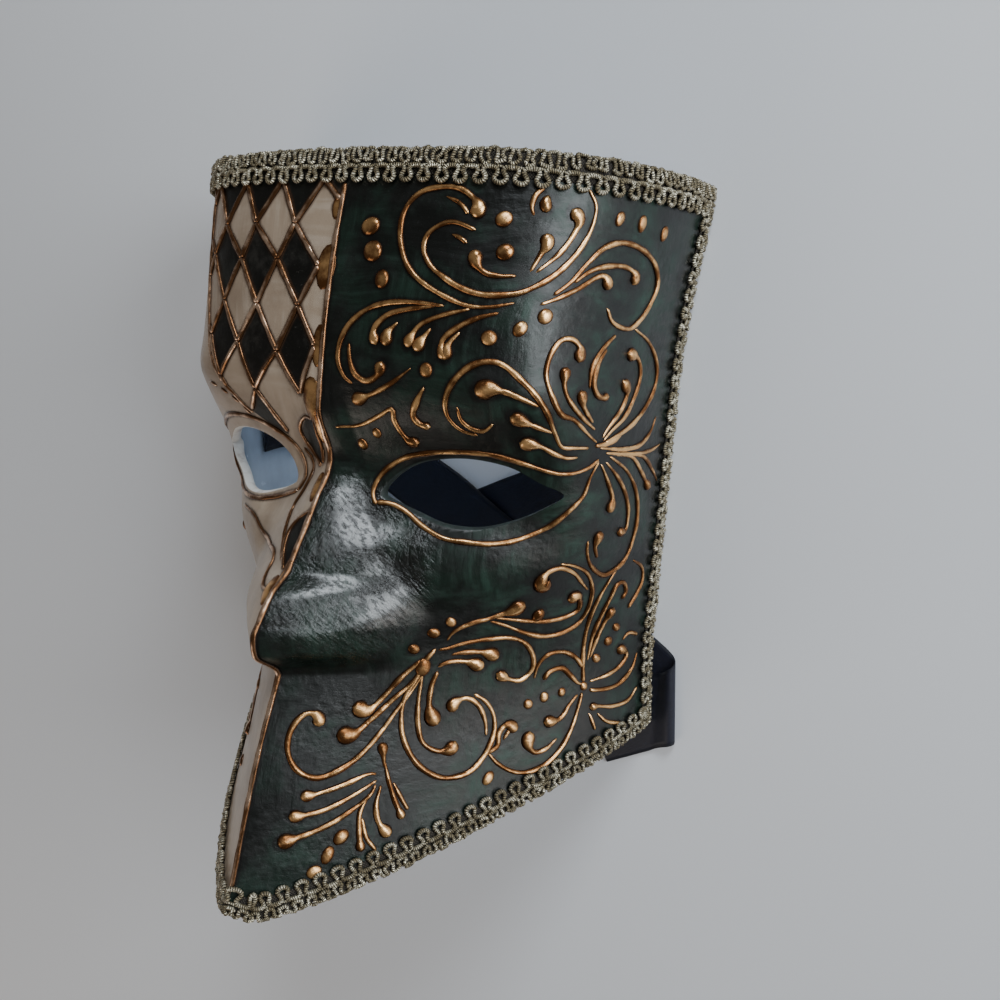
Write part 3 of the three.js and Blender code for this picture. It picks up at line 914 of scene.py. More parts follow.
@dataclass(frozen=True)
class WoundCord(Paint):
    """A cotton cord wound with flat metallic thread, whose turns show as fine slanting ribs.

    turn is the length of cord that one turn takes, in millimetres.
    """

    bright: tuple = rgb(0.88, 0.82, 0.64)
    dull: tuple = rgb(0.26, 0.215, 0.13)
    core: tuple = rgb(0.035, 0.028, 0.018)
    turn: float = 0.62

    def apply(self, f: Finish, w: Wiring) -> None:
        """Wires it."""
        run = f.run()
        turns = w.plus(w.math("DIVIDE", w.part(run, 0), self.turn), w.part(run, 1))
        wave = w.wave(turns, 1.0)
        rib = w.ramp(wave, -1.1, 0.3)
        dirt = w.ramp(w.noise(f.place, 380.0, 4.0, 0.65), 0.44, 0.62)
        thread = w.mix(dirt, self.dull, self.bright)
        f.set(Base_Color=w.mix(rib, self.core, thread), Metallic=w.times(rib, 0.65))
        f.set(Roughness=w.ramp(dirt, 0.0, 1.0, 0.5, 0.28))
        f.bump(w.plus(wave, w.noise(f.place, 1500.0)), 0.14)


@dataclass(frozen=True)
class BraidTape(Paint):
    """The dark woven tape under the cords, with threads of pitch millimetres both ways."""

    warp: tuple = rgb(0.012, 0.01, 0.009)
    weft: tuple = rgb(0.055, 0.044, 0.03)
    pitch: float = 0.8

    def apply(self, f: Finish, w: Wiring) -> None:
        """Wires it."""
        run = f.run()
        weave = w.times(*(w.wave(w.part(run, axis), self.pitch) for axis in (0, 1)))
        f.set(Base_Color=w.mix(w.ramp(weave, -0.3, 0.8), self.warp, self.weft), Roughness=0.85)
        f.bump(weave, 0.12)


@dataclass(frozen=True)
class Satin(Paint):
    """Navy-black satin: smooth floats along the ribbon, fine cross ribs and a woven edge.

    In millimetres: the ribbon's width, the pitch of the ribs, and how far in from the sides the woven
    edge begins and is whole.
    """

    colour: tuple = rgb(0.005, 0.006, 0.013)
    float_colour: tuple = rgb(0.013, 0.015, 0.03)
    width: float = 24.0
    rib: float = 0.45
    border: Pair = (1.3, 0.9)

    def apply(self, f: Finish, w: Wiring) -> None:
        """Wires it."""
        run = f.run()
        middle = self.width / 2
        out = w.math("ABSOLUTE", w.minus(w.part(run, 1), middle))
        border = w.ramp(out, *(middle - inset for inset in self.border))
        floats = w.noise(w.stretched(run, (0.08, 1.0, 1.0)), 6.0, 3.0)
        share = w.times(w.ramp(floats, 0.35, 0.7), w.minus(1.0, border))
        f.set(Base_Color=w.mix(share, self.colour, self.float_colour), Sheen_Weight=0.1, Sheen_Roughness=0.35)
        f.set(Roughness=w.ramp(border, 0.0, 1.0, 0.42, 0.6), Anisotropic=0.5, Specular_IOR_Level=0.35)
        f.bump(w.plus(w.times(w.wave(w.part(run, 0), self.rib), 0.5), w.times(border, 1.5)), 0.05)


# The raised work

class Drawn(Enum):
    """What a stroke's numbers are."""

    PICTURE = "pixels of the 1000 × 1000 picture"
    PLAN = "x and y on the mask"
    GIRTH = "length round the mask from the middle line, and y"


@dataclass(frozen=True)
class Stroke:
    """One squeezed bead of stucco.

    points is written "a,b a,b …"; first and last are the shares of the width at its ends; drop is the
    radius of the bead's round end at its last point, 0 for none.
    """

    points: str
    width: float = 1.75
    first: float = 0.45
    last: float = 0.9
    drop: float = 0.0
    drawn: Drawn = Drawn.PICTURE

    def stops(self) -> Array:
        """Its points as an array."""
        return np.array([[float(v) for v in pair.split(",")] for pair in self.points.split()])


@dataclass(frozen=True)
class Pearl:
    """A round or oval dab of stucco: its place, half width and half height, and its rise over the less."""

    x: float
    y: float
    wide: float = 2.4
    high: float = 2.6
    fullness: float = 0.5
    drawn: Drawn = Drawn.PICTURE


def on_plan(*items: Stroke | Pearl) -> tuple:
    """The same strokes or pearls, with numbers that are x and y on the mask."""
    return tuple(replace(item, drawn=Drawn.PLAN) for item in items)


def written(points: Array) -> str:
    """Points as the text of a stroke."""
    return " ".join(f"{a:.2f},{b:.2f}" for a, b in points)


CROWN_SCROLLS = (
    Stroke("515,303 490,307 465,305 429,287 411,271 402.5,251 401,226 408,205 422,192 440,187 459,188"
           " 472.5,197 479,208 472.5,217", drop=2.4),
    Stroke("446,196 460,203 469,214", 1.3, 0.2, 1.0),
    Stroke("476,230 454,222 440,225 427.5,235 424,250 431,266 445,278 459,287 482,294.5 516,293.6 530,289"
           " 555,275 578,252 591,229.5 596,206.5 589,189", 1.8, 0.7, 0.6),
    Stroke("451.5,234 459,237 467,243", 1.3, 0.2, 1.0),
    Stroke("516.5,276 499,276 484,272 476,262 476,249", drop=2.3),
    Stroke("534,216 532,206.5 536,195 545,187", 1.6),
    Stroke("549,195 546,203 546,213", 1.6, drop=1.9),
    Stroke("530,272 541,254 547,244 547,233", 1.6, drop=2.2),
    Stroke("536,272.5 559,254 572,237 579,220 572,209", 1.7, drop=2.3),
    Stroke("553,295.5 570,283 589,262 606,247 624,243 643,250.5 654,264 657,283 650,304 637,323 627.5,329"
           " 612,322 607,308", 1.9, 0.6, 0.6),
    Stroke("574,283 593,270 612,266 627.5,268 635,276 632,285", 1.7, drop=2.0),
    Stroke("539.5,305 559,298 578,289 603,276 609,290", 1.6, drop=2.0),
    Stroke("444,306 422,303 395,302 372,307 354,319 342,337 338,359 344,376 352.5,384", 1.8, 0.5, 0.5),
    Stroke("349,342.5 350,360 356,375 367,381 377.5,375 382,361", drop=1.9),
    Stroke("436,306 404,310 386,316 374,330 376,345", 1.7, drop=1.8),
    Stroke("398,322 388,333 385,346", 1.5, drop=2.1),
    Stroke("470,309 440,316 419,326 406,347", 1.6, drop=1.9),
    Stroke("431,328 422,340 415,351", 1.5, drop=2.0),
    Stroke("499,313 478,318 455,329 442,342 444,360", 1.7, drop=1.8),
    Stroke("460,332 449,344 445,360", 1.5, drop=1.9),
    Stroke("411,368 390,384 372,394 352.5,401", 1.6, 0.3, drop=2.2),
    Stroke("335,427 360,425 379,416 392,409 394,419 401,432 410,441 420,442.5", 1.6, 0.4, drop=2.0),
    Stroke("424,387 417,401 413,415 420,424 431,427", 2.2, 0.3, 0.5, drop=1.3),
)

BROW_SCROLLS = (
    Stroke("589,448 574,448 562,447 555,434 547,413 536,396 520,379 503,365 488,361.5 469,367 451.5,384"
           " 445,402 448,417 461,430 478,435.5", 1.9, 0.5, 0.5),
    Stroke("457,407 461,420 472.5,429 484,431 493,424", 1.4, 0.5, 0.7),
    Stroke("539.5,407 522,399 503,391.5 488,389 475,394", 1.8, drop=3.0),
    Stroke("553,433 539.5,428 522,421 510,416", 1.6, drop=2.4),
    Stroke("578,457.5 566,458 555,454 539.5,446 519,442.5", 1.6, drop=2.4),
    Stroke("597,443 589,435.5 574,420 562,415 551,394 546,375 551,354 562,340 572,339.5 580,348 578,363",
           drop=2.1),
    Stroke("595,430 578,413 566,394 564,379 567,367", 1.7, drop=1.9),
    Stroke("593,423 583.5,407 581,390", 1.7, drop=2.0),
    Stroke("616,335 606,345 598,356 592,368 590,379 589.5,389", 1.7, 0.6, 0.4),
    Stroke("607,349 600,360 595,373 593.5,385 597,395 603,398 608,395", 2.0, 0.4, drop=1.3),
    Stroke("635,329 648.5,342 656,363 655,384 647,404 631,425 604,444", 1.8),
    Stroke("603,441 612,430 624,417 635,394 640,373 637,358 627,353", 1.8, drop=2.2),
    Stroke("602,438 608,428 622,407 626.5,392 623,380", 1.7, drop=2.2),
    Stroke("600,448 624,449 639,445 650,432 656,416", 1.7, 0.5, 0.3),
    Stroke("606,453 633,454 648.5,451 660,444", 1.6, 0.5, 0.3),
    Stroke("595,446 605,444 613,440 621,434", 2.0, 0.7, 0.6),
)

SIDE_SCROLLS = (
    Stroke("601,464 608,483 612,499 608,513", 1.6, drop=2.0),
    Stroke("606,462 618,478 626,497 627.5,516 624,531 617,532", 1.7, drop=1.7),
    Stroke("610,456.5 626,470 635,489 637,514 633,537 624,560 612,571 603,575 591,566 587,552 588,541",
           1.8, 0.5, 0.6),
    Stroke("597,558 595,546 601,531", 1.6, drop=2.0),
    Stroke("616,455 631,456.5 641,472 648,488", 1.6, drop=1.8),
    Stroke("630,454 643,456.5 652,470 657,481", 1.5, 0.5, 0.4),
    Stroke("633,560 641,566 642,579 637,592 627.5,608", 1.6),
    Stroke("619,566 607.5,583 595,605.5 587.5,625.5 583,650 583,682", 1.7),
    Stroke("587,661 592.5,635.5 600,618 610,598 617.5,584 623.5,582.5 625.5,591 621,599", 1.8, 0.4, 0.9),
    Stroke("589.5,658 597.5,636 606,619 614,607.5", 1.7, 0.4, drop=1.9),
    Stroke("622,640 629,632.5 637,634", 1.4),
    Stroke("589,681.5 610,673 622,663 626,652 617,648", 1.7, drop=2.0),
    Stroke("637,652 631,669 618,684 604.5,689 589,690", 1.7),
    Stroke("637,686 627.5,700 612,706 597,706 589,707", 1.6, drop=1.5),
    Stroke("597,713 606,721 620,723", 1.5),
    Stroke("589,713 595,730", 1.5),
)

CHEEK_SCROLLS = (
    Stroke("560.5,564 574,566 587,573 592,588.5 588,608 578,623 562,632.5 543,636 524,632.5 505,625 490,621",
           1.8, 0.5, 0.5),
    Stroke("588,590 582,583 574,573 560.5,568 547,573 541,583 549,588", 1.8, drop=3.0),
    Stroke("447,641 451,634.5 458,629 474.5,622 487,619 501.5,614 515,609 525,602", 1.8, 0.4, drop=2.8),
    Stroke("532,620 536,617 543,609", 1.8, drop=2.7),
    Stroke("495,618 508.5,619 530,621 546,621 568,615.5 579,608 578,596 567,600", 1.8, 0.4, drop=2.3),
    Stroke("438,650 447,648.5 461,644 488,639 513,638 526,644 533,657 532,669 520,680 509,679 496,673",
           1.8, 0.5, drop=2.1),
    Stroke("451,655 462,652.5 474,651.5 488,653 498.5,657", 1.7, 0.4, drop=2.5),
    Stroke("438,667 444,663.5 455,661 469,662 483.5,667", 1.7, 0.6, drop=2.5),
    Stroke("424,662 428,657 436,648.5", 1.8, 0.9, 0.4),
)

JAW_SCROLLS = (
    Stroke("422,660 418,663 400.5,678 381,699 368,710 352,706", 1.9, 0.7, drop=2.8),
    Stroke("421,667 416,678 391,701 368,722 353,734 336,735", 1.9, 0.6, drop=2.9),
    Stroke("424,672 412,690 398,708 377.5,736 358,757 339,770 316,778 297,770 288,753 289.5,734 299,718.5"
           " 309,713 318,716.5 319,727", 1.9, 0.5, drop=2.2),
    Stroke("423,668 418,676 404,699 401,722 404,741 416,762.5 431,774 446,778 467,773 480,761 490,744"
           " 494.5,726 492,711 484,700 474,694", 2.0, 0.7, 0.6),
    Stroke("422.5,672.5 418,703 418,726 423,743 437,751 450,749 456,741", 1.8, 0.5, drop=2.4),
    Stroke("438,671 432,684 429,704 431,714 437,725", 1.8, 0.7, drop=2.8),
    Stroke("486,736 485,721 478,705 467,698 455,702 449,712", 1.8, drop=2.3),
    Stroke("488,753 497,763 511,771 528,772 547,763 562,746 572,726 578,707 582,692", 1.9, 0.6, 0.6),
    Stroke("488,753 497,746 499,732 507,724.5 517,730", 1.9, 0.6, drop=2.2),
    Stroke("503,740 507,733 511,728", 1.3),
    Stroke("557,738 545,749 534,752 528,744 530,731", 1.8, drop=2.6),
    Stroke("578,694 570,703.5 559,719 543,722", 1.7, drop=2.2),
    Stroke("534,679 538,665 549,654 564,652 576,658 582,667", 1.7),
    Stroke("583,684 578,683 570,675 562,668 549,672 543,680", 1.9, 0.4, 0.9),
)

CHIN_SCROLLS = (
    Stroke("384.5,768 383.5,756 382,742", 1.5, 0.4, drop=1.8),
    Stroke("377,774 369,774 343,785 320,793 300,797", 1.7, 0.5, drop=1.9),
    Stroke("377,780 372,783.5 347,799 324,810 305,815 288,817", 1.7, 0.5, drop=2.0),
    Stroke("376,784 370,795 343,816 320,829 299,837 277,844", 1.8, 0.5, drop=2.4),
    Stroke("381,785 376,805 378.5,822 390,836", 1.8, 0.5, drop=2.1),
    Stroke("370,793 360,812 359,831 361,852", 1.8, 0.5, drop=1.6),
    Stroke("362,818 366,837 376,850.5", 1.6),
    Stroke("384,759 389,782 395,801 403,819", 1.7, 0.4, drop=1.6),
    Stroke("393,782 400.5,797 408,810", 1.5),
)

PEARLS = (
    Pearl(504, 219, 2.3, 2.3), Pearl(505, 252, 2.4, 2.4), Pearl(620, 219, 1.7, 2.0),
    Pearl(642, 224, 1.7, 2.4), Pearl(664, 234, 1.6, 2.4), Pearl(545, 316.5, 2.2, 2.2),
    Pearl(520, 329, 2.1, 2.1), Pearl(489, 338, 2.2, 2.2), Pearl(426, 370, 2.0, 2.0),
    Pearl(371, 226, 2.9, 2.7), Pearl(373, 251, 3.2, 2.8), Pearl(382, 279, 2.3, 2.5),
    Pearl(377, 433, 1.5, 1.5), Pearl(363, 444, 1.7, 1.7), Pearl(616, 627, 1.6, 1.6),
    Pearl(608, 641, 1.7, 1.7), Pearl(596, 658, 1.7, 1.7), Pearl(451, 622, 1.8, 1.6),
    Pearl(434, 633, 2.0, 1.8), Pearl(414, 649, 1.8, 1.8), Pearl(528, 704, 1.7, 1.7),
    Pearl(544, 697, 1.7, 1.7), Pearl(561.5, 692, 1.5, 1.5), Pearl(488, 778, 1.9, 2.2),
    Pearl(341, 837, 2.2, 2.3), Pearl(327.5, 855, 2.0, 2.4), Pearl(314, 872, 2.4, 1.8),
    Pearl(583.5, 686, 1.5, 1.5), Pearl(423, 667, 2.4, 3.0),
)

EYE_LINES = (
    Stroke("599,459 590,467 575,473 561,474 546,471 528,465 509,459 487,454 458,452 429,453 407,457 389,467"
           " 379,478 373,492 376,505", 1.8, 0.6, 0.9),
    Stroke("376,502 392,504 407,512 421,525 443,538 465,542 487,544 509,542 531,535 553,524 572,508 583,496"
           " 590,478 599,461", 1.8, 0.9, 0.5),
)

# The ivory half. The camera does not see its far side, where the last lines and pearls lie
IVORY_LINES = on_plan(
    Stroke("-14,8.4 -11.8,12 -12.5,16 -15,19.7 -19,22.9 -26.7,26 -34,27.6 -44,27.8 -52,26.4 -58,23.6 -64,19.6"
           " -67.5,17.6", 1.7, 0.8, 0.5),
    Stroke("-14,8.4 -23,5 -29.3,3.2 -36,2 -44,1.6 -51,2.6 -58,6 -64,11.5 -67.5,17.6", 1.7, 0.8, 0.5),
    Stroke("-34,29.6 -37.7,32 -41,35 -45.3,38.2", 1.6, 0.6, 0.9),
    Stroke("-13,21.5 -8.2,16.6 -9.4,10 -12.2,4.5 -9.6,-2 -5.4,-8", 1.6, 0.6, 0.6),
    Stroke("-44,-2 -34,-3 -26,-7 -17,-7.4 -11.6,-8 -10.4,-12 -7.5,-14.4 -3.5,-14.6", 1.6, 0.5, 0.8),
    Stroke("-4.2,31.6 -8.8,31.4 -12.4,27.6 -11.8,24.3 -8.6,20.8 -3.6,17.4", 1.5),
    Stroke("-3.8,31 -3.4,27.4 -3.2,23 -2.8,18.4", 1.5),
    Stroke("-0.7,6 -4.8,3 -7.2,-1 -5.6,-6 -2.6,-9.8", 1.5),
    Stroke("-40,-30 -52,-24 -62,-30 -60,-44 -48,-50 -36,-46 -33,-38 -39,-35", 1.7, 0.4, drop=2.2),
    Stroke("-48,-50 -43,-58 -36,-64 -29,-66 -26,-71", 1.7, 0.7, drop=2.0),
    Stroke("-60,-44 -64,-54 -60,-62 -52,-63", 1.6, 0.5, drop=2.0),
)

IVORY_PEARLS = on_plan(
    Pearl(-46, -37, 2.2, 2.2), Pearl(-27, -56, 1.9, 1.9), Pearl(-35, -71, 1.9, 1.9),
    Pearl(-24, -77, 1.7, 1.7), Pearl(-62, -14, 2.0, 2.0), Pearl(-52, -12, 1.8, 1.8),
)

# Broken dark touches on the brow
BROW_TOUCHES = on_plan(
    Stroke("-36,29 -38.6,31.2", 1.1, 0.5, 0.5),
    Stroke("-40.2,32.2 -43,34", 1.1, 0.5, 0.5),
    Stroke("-45,34.6 -48,36", 1.1, 0.5, 0.5),
    Stroke("-50.4,36.4 -53.6,37.4", 1.1, 0.5, 0.5),
)

# Flat gilt patches along the middle line, on its ivory side
GILT_PATCHES = on_plan(
    Pearl(-2.0, 74.2, 3.4, 6.4, 0.11), Pearl(-1.5, 52.6, 2.4, 6.0, 0.12), Pearl(-1.3, 90.8, 2.0, 3.6, 0.13),
    Pearl(-3.2, 37.0, 4.2, 7.4, 0.09), Pearl(-1.8, 29.5, 1.6, 5.0, 0.25), Pearl(-2.0, 12.0, 1.8, 4.4, 0.25),
    Pearl(-2.8, -14.5, 2.6, 3.4, 0.2), Pearl(-1.2, -10.0, 1.2, 3.4, 0.25),
)


@dataclass(frozen=True)
class DiamondNet:
    """The harlequin net of the ivory half.

    rows are its crossings from the forehead down, each a length round the mask and a height. Beyond
    them the net goes on at its pitch up to reach. Black cells stand across every other row. The top and
    bottom of a cell are crossings no farther aside than snap, or else half_tall from its row, and it
    lies in a box of twice around. The net ends at the brow line below, and at a line down the temple.
    Two narrow black slips lie in plan beside the bridge of the nose. Beads follow the cells' sides,
    where fewest of samples points lie on the net and over least_girth from the middle line.
    """

    rows: tuple[tuple[Pair, ...], ...] = (
        ((-8, 98.5), (7.5, 98.5), (23.2, 98.5), (38.5, 98), (54, 98)),
        ((0, 92), (15.7, 86.1), (31.8, 86.1), (46.4, 85.5)),
        ((4.6, 74.5), (20.6, 76), (36.3, 75.9), (52.5, 77)),
        ((10.5, 63.3), (27.3, 63.1), (43.5, 63.4)),
        ((2.8, 52.5), (17.6, 50), (35.4, 51.6), (50.7, 53)),
        ((8.5, 38.4), (28.9, 38), (46.6, 40.3)),
        ((19.5, 25.5), (38, 27.5), (54, 30)),
    )
    pitch: float = 16.0
    reach: float = 90.0
    brow_at: Row = (0, 18, 27.5, 34.3, 39.1, 42.3, 46.2, 54)
    brow: Row = (20, 24, 26.4, 29.6, 32, 35.1, 38.4, 41.4)
    temple_at: Row = (38.4, 45, 53, 63, 77, 98)
    temple: Row = (46.2, 50.5, 52.5, 55, 57.5, 59)
    slips: tuple[tuple[Pair, ...], ...] = (
        ((-4.4, 31.2), (-8.6, 31), (-12.1, 27.2), (-11.4, 24.4), (-8.4, 21.2), (-3.4, 17.8), (-3.2, 23),
         (-3.4, 27.4)),
        ((-0.4, 6.2), (-4.6, 3), (-7, -1), (-5.4, -6), (-2.6, -9.6), (-0.5, -6), (-0.4, 0)),
    )
    half_tall: float = 12.5
    snap: float = 9.0
    around: Pair = (14, 18)
    samples: int = 13
    fewest: int = 4
    least_girth: float = 0.2
    side_width: float = 1.9
    temple_width: float = 1.8

    def crossings(self) -> list[Array]:
        """The rows, carried on round the temple."""
        whole = []
        for row in self.rows:
            given = np.array(row, dtype=float)
            more = np.arange(given[-1, 0] + self.pitch, self.reach, self.pitch)
            whole.append(np.concatenate([given, np.stack([more, np.full(len(more), given[-1, 1])], axis=1)]))
        return whole

    def cells(self) -> list[Array]:
        """The black diamonds, four corners each."""
        rows = self.crossings()
        found = []
        for i in range(0, len(rows), 2):
            for right, left in zip(rows[i][:-1], rows[i][1:]):
                middle = (right[0] + left[0]) / 2
                ends = []
                for j, beyond in ((i - 1, self.half_tall), (i + 1, -self.half_tall)):
                    end = np.array([middle, right[1] + beyond])
                    if 0 <= j < len(rows):
                        near = rows[j][np.abs(rows[j][:, 0] - middle).argmin()]
                        end = near if abs(near[0] - middle) < self.snap else end
                    ends.append(end)
                found.append(np.array([right, ends[0], left, ends[1]]))
        return found

    def distance(self, girth: Array, y: Array) -> Array:
        """Distance to the nearest black, negative on it, kept within the brow and temple lines."""
        points = np.stack([girth, y], axis=1)
        best = np.full(len(points), FAR)
        for cell in self.cells():
            near = (np.abs(points - cell.mean(0)) < self.around).all(1)
            if near.any():
                best[near] = np.minimum(best[near], outline_distance(points[near], cell)[0])
        below = np.interp(girth, self.brow_at, self.brow) - y
        return np.maximum(best, np.maximum(below, girth - np.interp(y, self.temple_at, self.temple)))

    def slip_distance(self, points: Array) -> Array:
        """Distance in plan to the nearest of the two black slips beside the nose, negative on them."""
        return np.minimum(*(outline_distance(points, np.array(slip, dtype=float))[0] for slip in self.slips))

    def strokes(self, top: float) -> list[Stroke]:
        """A bead along each side of each black diamond, cut off at the net's ends, and its temple line."""
        edge = written(np.column_stack([-np.array(self.temple), self.temple_at]))
        made = [Stroke(edge, self.temple_width, 0.9, 0.9, drawn=Drawn.GIRTH)]
        share = np.linspace(0, 1, self.samples)[:, None]
        for cell in self.cells():
            for a, b in zip(cell, np.roll(cell, -1, axis=0)):
                run = a + (b - a) * share
                girth, y = run.T
                keep = (y > np.interp(girth, self.brow_at, self.brow)) & (y < top)
                keep &= (girth > self.least_girth) & (girth < np.interp(y, self.temple_at, self.temple))
                run = run[keep]
                if len(run) >= self.fewest:
                    text = written(run[[0, len(run) // 2, -1]] * (-1, 1))
                    made.append(Stroke(text, self.side_width, 0.95, 0.95, drawn=Drawn.GIRTH))
        return made


@dataclass
class StuccoWork:
    """Everything squeezed on in stucco: scrolls, drops, pearls and the lines of the ivory half.

    A bead is full between the shares swell of its length, and wavers by waver at paces in radians a
    millimetre. It rises by rise_share of its half width, or by wide_rise[0] plus wide_rise[1] of it. A
    drop has drop_share of the radius asked for, drop_most of the line at most, and fades over drop_tail
    of it. Ends are round over least_cap or more, and keep least_end of the width. Stations gather at
    the ends of lines up to ease_length. A dome's rings stand at the shares dome of its rise.
    middle_runs are the first, end and step of the middle line's heights. The net's beads stay
    net_margin below the forehead rim. Gaps are measured for block points at a time.
    """

    form: FaceForm
    view: Viewpoint
    net: DiamondNet
    per_span: int = 10
    spacing: float = 0.75
    fewest: int = 6
    ease_length: float = 4.0
    sides: int = 8
    swell: Pair = (0.35, 0.75)
    waver: float = 0.06
    paces: Triple = (0.9, 0.47, 0.23)
    rise_share: float = 0.85
    wide_rise: Pair = (0.75, 0.3)
    drop_share: float = 0.97
    drop_tail: float = 1.5
    drop_most: float = 0.45
    least_cap: float = 0.3
    least_end: float = 0.04
    sink: float = 0.3
    dome: Row = (0.0, 0.3, 0.58, 0.8, 0.94)
    dome_sides: int = 14
    dome_crest: float = 0.7
    u_step: float = 0.002
    middle_runs: tuple[Triple, ...] = ((97.5, -20, -3), (-20, -41, -1), (-42, -99, -3))
    middle_width: float = 1.9
    net_margin: float = 5.0
    block: int = 4000
    rng: np.random.Generator = field(default_factory=lambda: np.random.default_rng(SEED))
    centres: list[Array] = field(default_factory=list)
    radii: list[Array] = field(default_factory=list)

    def placed(self, drawn: Drawn, points: Array) -> tuple[Array, Array]:
        """u and y of points in any of the three kinds of numbers."""
        if drawn is Drawn.PICTURE:
            return self.form.cast(self.view, points)
        if drawn is Drawn.PLAN:
            u = points[:, 0] / self.form.half_width(points[:, 1])
            return np.clip(u, -EDGE_U, EDGE_U), points[:, 1]
        return self.form.at_girth(points[:, 0], points[:, 1]), points[:, 1]

    def laid(self, strokes: list[Stroke]) -> list[tuple[Stroke, Array]]:
        """Puts many strokes on the surface at once; each row holds a point, u and y."""
        found: dict[int, Array] = {}
        for kind in Drawn:
            chosen = [i for i, s in enumerate(strokes) if s.drawn is kind]
            if not chosen:
                continue
            runs = [spline(strokes[i].stops(), self.per_span) for i in chosen]
            u, y = self.placed(kind, np.concatenate(runs))
            whole = np.concatenate([self.form.surface(u, y), u[:, None], y[:, None]], axis=1)
            for i, part in zip(chosen, np.split(whole, np.cumsum([len(r) for r in runs])[:-1])):
                found[i] = part
        return [(strokes[i], found[i]) for i in range(len(strokes))]

    def radius(self, stroke: Stroke, along: Array) -> Array:
        """Half width along a stroke.

        The line swells from its first share to full and on to its last; the drop is a half circle at
        the end that fades back along the line as a bell curve; both ends are rounded off.
        """
        total = along[-1]
        shares = [stroke.first, 1, 1, stroke.last]
        r = stroke.width / 2 * np.interp(along / total, [0, *self.swell, 1], shares)
        phase = self.rng.uniform(0, ANY_PHASE, len(self.paces))
        r = r * (1 + self.waver * sum(np.sin(along * k + p) for k, p in zip(self.paces, phase)))
        left = total - along
        if stroke.drop:
            d = min(self.drop_share * stroke.drop, total * self.drop_most)
            bell = d * np.exp(-(np.maximum(left - d, 0) / (self.drop_tail * d))**2)
            r = np.maximum(r, bell)
        for gap, end in ((along, r[0]), (left, max(r[-1], stroke.drop))):
            cap = np.clip(1 - gap / max(end, self.least_cap), 0, 1)
            r = r * np.sqrt(np.clip(1 - cap * cap, self.least_end**2, 1))
        return r

    def line(self, stroke: Stroke, run: Array) -> Patch:
        """The bead of one stroke."""
        total = lengths(run[:, :3])[-1]
        count = max(self.fewest, int(total / self.spacing) + 1)
        share = (1 - np.cos(np.linspace(0, math.pi, count))) / 2
        even = np.linspace(0, 1, count)
        ease = min(1.0, self.ease_length / total)
        run = resampled(run, total * (even + (share - even) * ease))
        path = self.form.surface(run[:, 3], run[:, 4])
        along = lengths(path)
        r = self.radius(stroke, along)
        self.centres.append(path)
        self.radii.append(r)
        rise = np.minimum(r * self.rise_share, self.wide_rise[0] + self.wide_rise[1] * r)
        return bead(path, self.form.normal(run[:, 3], run[:, 4]), r, rise, self.sides, False, self.sink)

    def pearl(self, dab: Pearl) -> Patch:
        """An oval dome: rings of points at rising height, their radius shrinking as the root of 1 - h²."""
        u, y = self.placed(dab.drawn, np.array([[dab.x, dab.y]]))
        top = self.form.surface(u, y)[0]
        rise = dab.fullness * min(dab.wide, dab.high)
        h = np.array(self.dome)
        n = self.dome_sides
        turn = np.arange(n) / n * FULL_TURN
        ring = np.sqrt(1 - h * h)[:, None]
        wobble = 1 + self.waver * np.sin(2 * turn + self.rng.uniform(0, ANY_PHASE))
        step = self.u_step
        pace = np.linalg.norm(self.form.surface(u + step, y) - self.form.surface(u - step, y)) / (2 * step)
        uu = np.clip(u + dab.wide * ring * np.cos(turn) * wobble / pace, -EDGE_U, EDGE_U)
        yy = y + dab.high * ring * np.sin(turn) * wobble
        base = self.form.surface(uu, yy)
        lift = (h * rise)[:, None] - self.sink * (h[:, None] == 0)
        points = (base + self.form.normal(uu, yy) * lift[..., None]).reshape(-1, 3)
        crown = top + self.form.normal(u, y)[0] * rise
        rings = band_faces(len(h), n, False, True)
        last = (len(h) - 1) * n + np.arange(n)
        cap = np.stack([last, np.roll(last, -1), np.full(n, len(points))], axis=1)
        first = np.zeros(n - 2, dtype=int)
        foot = np.stack([first, np.arange(n - 1, 1, -1), np.arange(n - 2, 0, -1)], axis=1)
        crest = np.concatenate([np.repeat(h**self.dome_crest, n), [1.0]])
        self.centres.append(top[None])
        self.radii.append(np.array([min(dab.wide, dab.high)]))
        faces = [rings, cap, foot]
        flat = [np.zeros((*f.shape, 2)) for f in faces]
        return Patch(np.concatenate([points, crown[None]]), faces, [0] * len(faces), {"crest": crest}, flat)

    def middle_line(self) -> Stroke:
        """The long bead down the middle plane, over the nose and down the keel."""
        heights = np.concatenate([np.arange(*run, dtype=float) for run in self.middle_runs])
        stops = np.column_stack([np.zeros(len(heights)), heights])
        return Stroke(written(stops), self.middle_width, 0.9, 0.9, drawn=Drawn.PLAN)

    def build(self, groups: Groups) -> list[Item]:
        """Makes the copper work of the dark half and the gilt work of the ivory half."""
        copper = Gilding().material("copper_gilding", groups)
        gold = Gilding(rgb(0.028, 0.015, 0.009), rgb(0.20, 0.095, 0.043), rgb(0.92, 0.67, 0.49), 0.3)
        gold = gold.material("brown_gilding", groups)
        dark = [*CROWN_SCROLLS, *BROW_SCROLLS, *SIDE_SCROLLS, *CHEEK_SCROLLS, *JAW_SCROLLS, *CHIN_SCROLLS,
                *EYE_LINES]
        net = self.net.strokes(self.form.top_rim - self.net_margin)
        pale = [*IVORY_LINES, *BROW_TOUCHES, *net, self.middle_line()]
        made = []
        for name, strokes, dabs, material in (
                ("scrollwork", dark, (*PEARLS, *GILT_PATCHES), copper),
                ("harlequin_lines", pale, IVORY_PEARLS, gold)):
            parts = [self.line(s, run) for s, run in self.laid(strokes)] + [self.pearl(d) for d in dabs]
            made.append(Patch.joined(parts).build(name, [material]))
        return made

